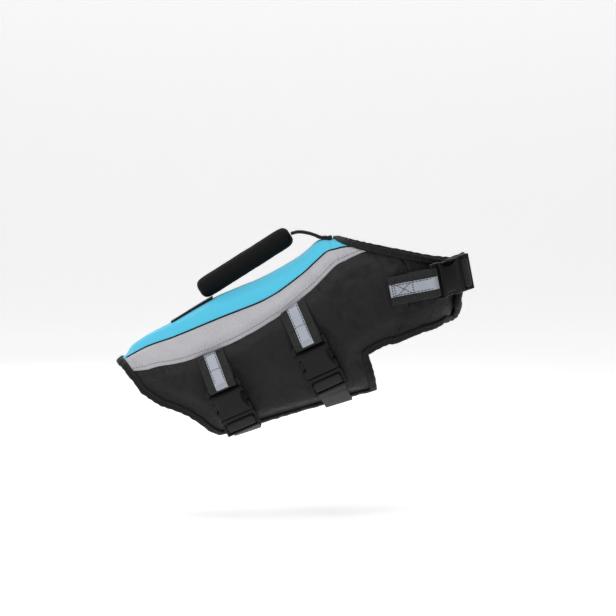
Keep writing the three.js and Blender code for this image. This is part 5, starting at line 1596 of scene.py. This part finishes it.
def fasten(name, line, start, tack, buckle, far, lengthwise, middle, skew=0.0):
    """A fastened strap: its upper length looped round the fixed bar, its lower length over the ladder."""
    matrix = buckle_matrix(line, buckle)
    basis, origin = matrix
    wide = basis[:, 1]

    def local(x, z):
        return origin + basis @ np.array((x, 0.0, z)), wide

    def along_buckle(vertex):
        return float((vertex[0] - origin) @ basis[:, 0])

    half = WEBBING_THICK / 2
    clear = FRAME_HALF_THICK + GAP + half
    layer = WEBBING_THICK + GAP
    step = 4
    bar_end = -BUCKLE_HALF_LENGTH
    bar_slot = bar_end + BAR_WIDTH + GAP + half
    outer, inner = [], []
    for t in np.arange(start, buckle, step):
        vertex = line.vertex(t, GAP + half + (layer if t > tack - step else 0))
        if along_buckle(vertex) < bar_end - 1.5:
            outer.append(vertex)
    for t in np.arange(tack, buckle, step):
        vertex = line.vertex(t, GAP + half)
        if along_buckle(vertex) < bar_end - 1.5:
            inner.append(vertex)
    upper_outer = taut([*outer, local(bar_end - 0.5, clear)], lengthwise, middle)
    upper_inner = taut([*inner, local(bar_end - 0.5, -clear)], lengthwise, middle)
    loop = [local(bar_slot - 1.3, clear), local(bar_slot - 0.3, clear - 0.4), local(bar_slot, clear - 1.3)]
    loop += [local(bar_slot, 1.3 - clear), local(bar_slot - 0.3, 0.4 - clear), local(bar_slot - 1.3, -clear)]
    upper = upper_outer + loop + upper_inner[::-1]
    piece = ribbon(f"{name}_upper_webbing", upper, WEBBING_WIDTH, WEBBING_THICK, webbing_cloth, skew=skew)
    dress(piece, "webbing", f"{name}_upper")
    tape_lift = half + GAP + 0.1 + TAPE_THICK / 2
    near = path_slice([*upper_outer, loop[0]], 0.6, -0.6)
    piece = ribbon(f"{name}_tape_near_strip", near, TAPE_WIDTH, TAPE_THICK, silver_tape, tape_lift, skew=skew)
    dress(piece, "reflective_tape", f"{name}_tape_near")

    slot_one = FEMALE_END + 4.3 + SLOT_LENGTH / 2
    slot_two = slot_one + SLOT_LENGTH + LADDER_BAR
    under = -clear - layer
    ladder = [local(BUCKLE_HALF_LENGTH - 0.8, under), local(slot_one + 1.3, under)]
    ladder += [local(slot_one + 0.4, under + 0.4), local(slot_one, under + 1.3), local(slot_one, clear - 1.3)]
    ladder += [local(slot_one + 0.4, clear - 0.4), local(slot_one + 1.3, clear), local(slot_two - 1.3, clear)]
    ladder += [local(slot_two - 0.4, clear - 0.4), local(slot_two, clear - 1.3), local(slot_two, 1.3 - clear)]
    ladder += [local(slot_two + 0.4, 0.4 - clear), local(slot_two + 1.3, -clear)]
    standing = [local(BUCKLE_HALF_LENGTH + 0.5, -clear)]
    for t in np.arange(buckle, far + 0.5, step):
        vertex = line.vertex(t, GAP + half)
        if along_buckle(vertex) > BUCKLE_HALF_LENGTH + 2:
            standing.append(vertex)
    lower = taut(standing, lengthwise, middle)
    piece = ribbon(f"{name}_lower_webbing", ladder + lower, WEBBING_WIDTH, WEBBING_THICK, webbing_cloth)
    dress(piece, "webbing", f"{name}_lower")
    far_path = path_slice(lower, -FAR_TAPE, -0.6)
    piece = ribbon(f"{name}_tape_far_strip", far_path, TAPE_WIDTH, TAPE_THICK, silver_tape, tape_lift)
    dress(piece, "reflective_tape", f"{name}_tape_far")

    female = buckle_half(f"{name}_buckle_socket", side_release_female(), matrix)
    dress(female, "buckle", f"{name}_buckle_female")
    male = buckle_half(f"{name}_buckle_ladder", side_release_male(), matrix)
    dress(male, "buckle", f"{name}_buckle_male")
    strap_stitches(name, near, far_path, tape_lift + TAPE_THICK / 2 + 0.06)


def strap_stitches(name, near, far, lift):
    """Rows along the tapes, a seam across where the webbing doubles, and a box on the neck strap's end."""
    edge = TAPE_WIDTH / 2 - 1.0
    side = WEBBING_WIDTH / 2 - 1.6
    rows = []
    for path in (near, far):
        rows += strap_row(path, [[(1.5, s), (-1.5, s)] for s in (-edge, edge)], lift)
    if name == "neck_strap":
        across = [[(d, -side), (d, side)] for d in (2.2, 4.4, 20.5)]
        box = [[(6.5, -edge), (18.5, edge)], [(6.5, edge), (18.5, -edge)]]
        rows += strap_row(near, across + box, lift, 2.2)
    else:
        rows += strap_row(near, [[(-19.0, -side), (-19.0, side)]], lift, 1.8)
        rows += strap_row(near, [[(1.5, -side), (1.5, side)]], lift, 1.8)
    rows += strap_row(far, [[(-2.2, -side), (-2.2, side)]], lift, 1.8)
    dress(stitch_mesh(f"{name}_stitches", rows, strap_thread, 0.34), "webbing")


def band_slope(line, station, saddle):
    """How far the band's lower edge drops for each millimetre across a strap."""
    reach = WEBBING_WIDTH / 2
    _, girth, _, _, _, wide = line.frame(saddle)
    drops = []
    for side in (reach, -reach):
        u, v = step_over(station, girth, wide, side)
        drops.append(float(column("saddle_half", u)) - abs(float(v)))
    return (drops[0] - drops[1]) / WEBBING_WIDTH


for strap_name, strap_station, strap_tack, strap_buckle in GIRTH_STRAPS:
    saddle = float(column("saddle_half", strap_station))
    body = float(half_girth(strap_station))
    core = lerp(face_point(strap_station, 0.0), face_point(strap_station, body), 0.5)
    line = strap_lines[strap_name]
    ends = saddle + 1.2, strap_tack, strap_buckle, 2 * body - saddle - 2
    slope = band_slope(line, strap_station, saddle)
    fasten(strap_name, line, *ends, GIRTH_LENGTHWISE, core, slope)
neck_far = 2 * strap_lines["neck_strap"].middle - NECK_PATH[0][1]
neck_ends = NECK_PATH[0][1], NECK_TACK, NECK_BUCKLE, neck_far
fasten("neck_strap", strap_lines["neck_strap"], *neck_ends, NECK_LENGTHWISE, NECK_MIDDLE)


# Carry handle.
SEWN_LIFT = 0.1


def handle_grip():
    """The padded grip: a stretch cover gathered at both ends, with a seam along its underside."""
    length = float(np.linalg.norm(GRIP_FRONT - GRIP_REAR))
    axis = unit(GRIP_FRONT - GRIP_REAR)
    up = np.array((-axis[2], 0.0, axis[0]))
    side = np.array((0.0, 1.0, 0.0))
    middle = np.linspace(GRIP_ENDS[-1][0], length - GRIP_ENDS[-1][0], 60)[1:-1]
    rings = list(GRIP_ENDS) + [(d, 1.0) for d in middle]
    rings += [(length - inset, scale) for inset, scale in reversed(GRIP_ENDS)]
    sides = 72
    rows, uvs = [], []
    for distance, scale in rings:
        from_end = min(distance, length - distance)
        centre = GRIP_REAR + axis * distance
        turn = 2 * math.pi * np.arange(sides) / sides
        gather = 1 + 0.028 * np.sin(13 * turn + 0.6) * math.exp(-from_end / 5)
        seam = 1 - 0.05 * np.exp(-(((turn - 1.5 * math.pi) / 0.07) ** 2))
        places = centre + scale * (
            up * (GRIP_HALF_HEIGHT * np.sin(turn) * gather * seam)[:, None]
            + side * (GRIP_HALF_WIDTH * np.cos(turn) * gather * seam)[:, None]
        )
        lumps = 0.28 * grain_noise(places, 0.09, 6) + 0.12 * grain_noise(places, 0.3, 7)
        out = unit(places - centre)
        rows.append(places + out * (np.minimum(lumps, 0.12) * min(1, from_end / 4))[:, None])
        uvs += [(10 * t * MM, distance * MM) for t in turn]
    faces = tube_faces(len(rings), sides)
    return mesh_object("handle_grip_cover", np.concatenate(rows), faces, grip_cover, uvs)


def web_path(points):
    turned = np.array((0.0, -1.0, 0.0))
    return [(point, turned) for point in points]


def on_back(station, lift):
    height = float(panels["back_panel"].outer(station, 0.0)[0])
    return place(np.array(station, dtype=float), np.array(0.0), height + lift)


grip = dress(handle_grip(), "grip", "handle_grip")
rear_lifts = np.linspace(SEWN_LIFT, GAP + WEBBING_THICK / 2, len(REAR_PATCH))
rear_web = web_path([on_back(station, lift) for station, lift in zip(REAR_PATCH, rear_lifts)])
piece = ribbon("handle_webbing_rear_strip", rear_web, WEBBING_WIDTH, WEBBING_THICK, webbing_cloth)
dress(piece, "webbing", "handle_webbing_rear")
grip_axis = unit(GRIP_FRONT - GRIP_REAR)
front_points = [GRIP_FRONT + grip_axis * 3 * GAP]
front_points += [np.array((x, 0.0, z)) for x, z in FRONT_RISE]
front_points += [on_back(station, GAP + FRONT_WEB_THICK / 2) for station in FRONT_PATCH]
layer_thick = FRONT_WEB_THICK / 2 - 0.1
front_path = web_path(front_points)
FRONT_LAYERS = (
    ("strip", WEBBING_WIDTH, FRONT_WEB_THICK / 4),
    ("fold", WEBBING_WIDTH - 0.8, -FRONT_WEB_THICK / 4),
)
for layer_name, width, lift in FRONT_LAYERS:
    layer_name = f"handle_webbing_front_{layer_name}"
    piece = ribbon(layer_name, front_path, width, layer_thick, webbing_cloth, lift, pieces=6)
    dress(piece, "webbing", "handle_webbing_front")


def handle_stitches():
    half = WEBBING_WIDTH / 2 - 2
    lift = WEBBING_THICK / 2 + 0.1
    box = [[(2, -half), (2, half), (20, half), (20, -half), (2, -half)], [(2, -half), (20, half)]]
    box.append([(2, half), (20, -half)])
    rows = strap_row(rear_web, box, lift, 2.6)
    far = [[(-2, -half), (-2, half), (-14, half), (-14, -half), (-2, -half)], [(-2, -half), (-14, half)]]
    far.append([(-2, half), (-14, -half)])
    rows += strap_row(front_path, far, FRONT_WEB_THICK / 2 + 0.1, 2.6)
    return rows


dress(stitch_mesh("handle_stitches", handle_stitches(), black_thread), "webbing")

# Studio: a pale floor that curves up behind, soft lights and a pale surrounding.
FLOOR_HEIGHT = -201
SWEEP_BACK = 2600
SWEEP_RADIUS = 900
SWEEP_WIDTH = 9000
SWEEP_FRONT = -5000
SWEEP_TOP = 5000


def studio_sweep():
    shader = Shader("studio_sweep", 0.9, 0.0, 0.1)
    shader.surface.inputs["Base Color"].default_value = (0.86, 0.86, 0.86, 1)
    shader.surface.inputs["Emission Color"].default_value = (1, 1, 1, 1)
    shader.surface.inputs["Emission Strength"].default_value = 0.42
    line = [(SWEEP_FRONT, 0.0), (SWEEP_BACK, 0.0)]
    for turn in np.linspace(0, math.pi / 2, 16)[1:]:
        line.append((SWEEP_BACK + SWEEP_RADIUS * math.sin(turn), SWEEP_RADIUS * (1 - math.cos(turn))))
    line.append((SWEEP_BACK + SWEEP_RADIUS, SWEEP_TOP))
    points = [(x, y, z + FLOOR_HEIGHT) for y, z in line for x in (-SWEEP_WIDTH / 2, SWEEP_WIDTH / 2)]
    faces = [(2 * k, 2 * k + 1, 2 * k + 3, 2 * k + 2) for k in range(len(line) - 1)]
    made = mesh_object("studio_sweep", points, faces, shader.material)


def area_light(name, place_mm, aim_mm, size_mm, power, colour=(1, 1, 1)):
    data = bpy.data.lights.new(name, "AREA")
    data.shape = "RECTANGLE"
    data.size, data.size_y = (s * MM for s in size_mm)
    data.energy = power
    data.color = colour
    light = bpy.data.objects.new(name, data)
    bpy.context.collection.objects.link(light)
    light.location = Vector(place_mm) * MM
    light.rotation_euler = (Vector(aim_mm) - Vector(place_mm)).to_track_quat("-Z", "Y").to_euler()


def studio_world():
    world = bpy.data.worlds.new("studio")
    world.use_nodes = True
    background = world.node_tree.nodes["Background"]
    background.inputs["Color"].default_value = (1, 1, 1, 1)
    background.inputs["Strength"].default_value = 0.3
    bpy.context.scene.world = world


studio_sweep()
studio_world()
area_light("overhead", (-150, -300, 1500), (50, 0, 0), (1600, 1200), 15)
area_light("side_key", (-1300, -900, 900), (50, 0, -20), (500, 500), 9)
area_light("front_fill", (300, -1900, 500), (50, 0, -30), (1500, 1100), 5)
area_light("rear_rim", (-700, 1300, 700), (60, 0, 0), (900, 900), 5)
bpy.context.scene.view_settings.view_transform = "Standard"
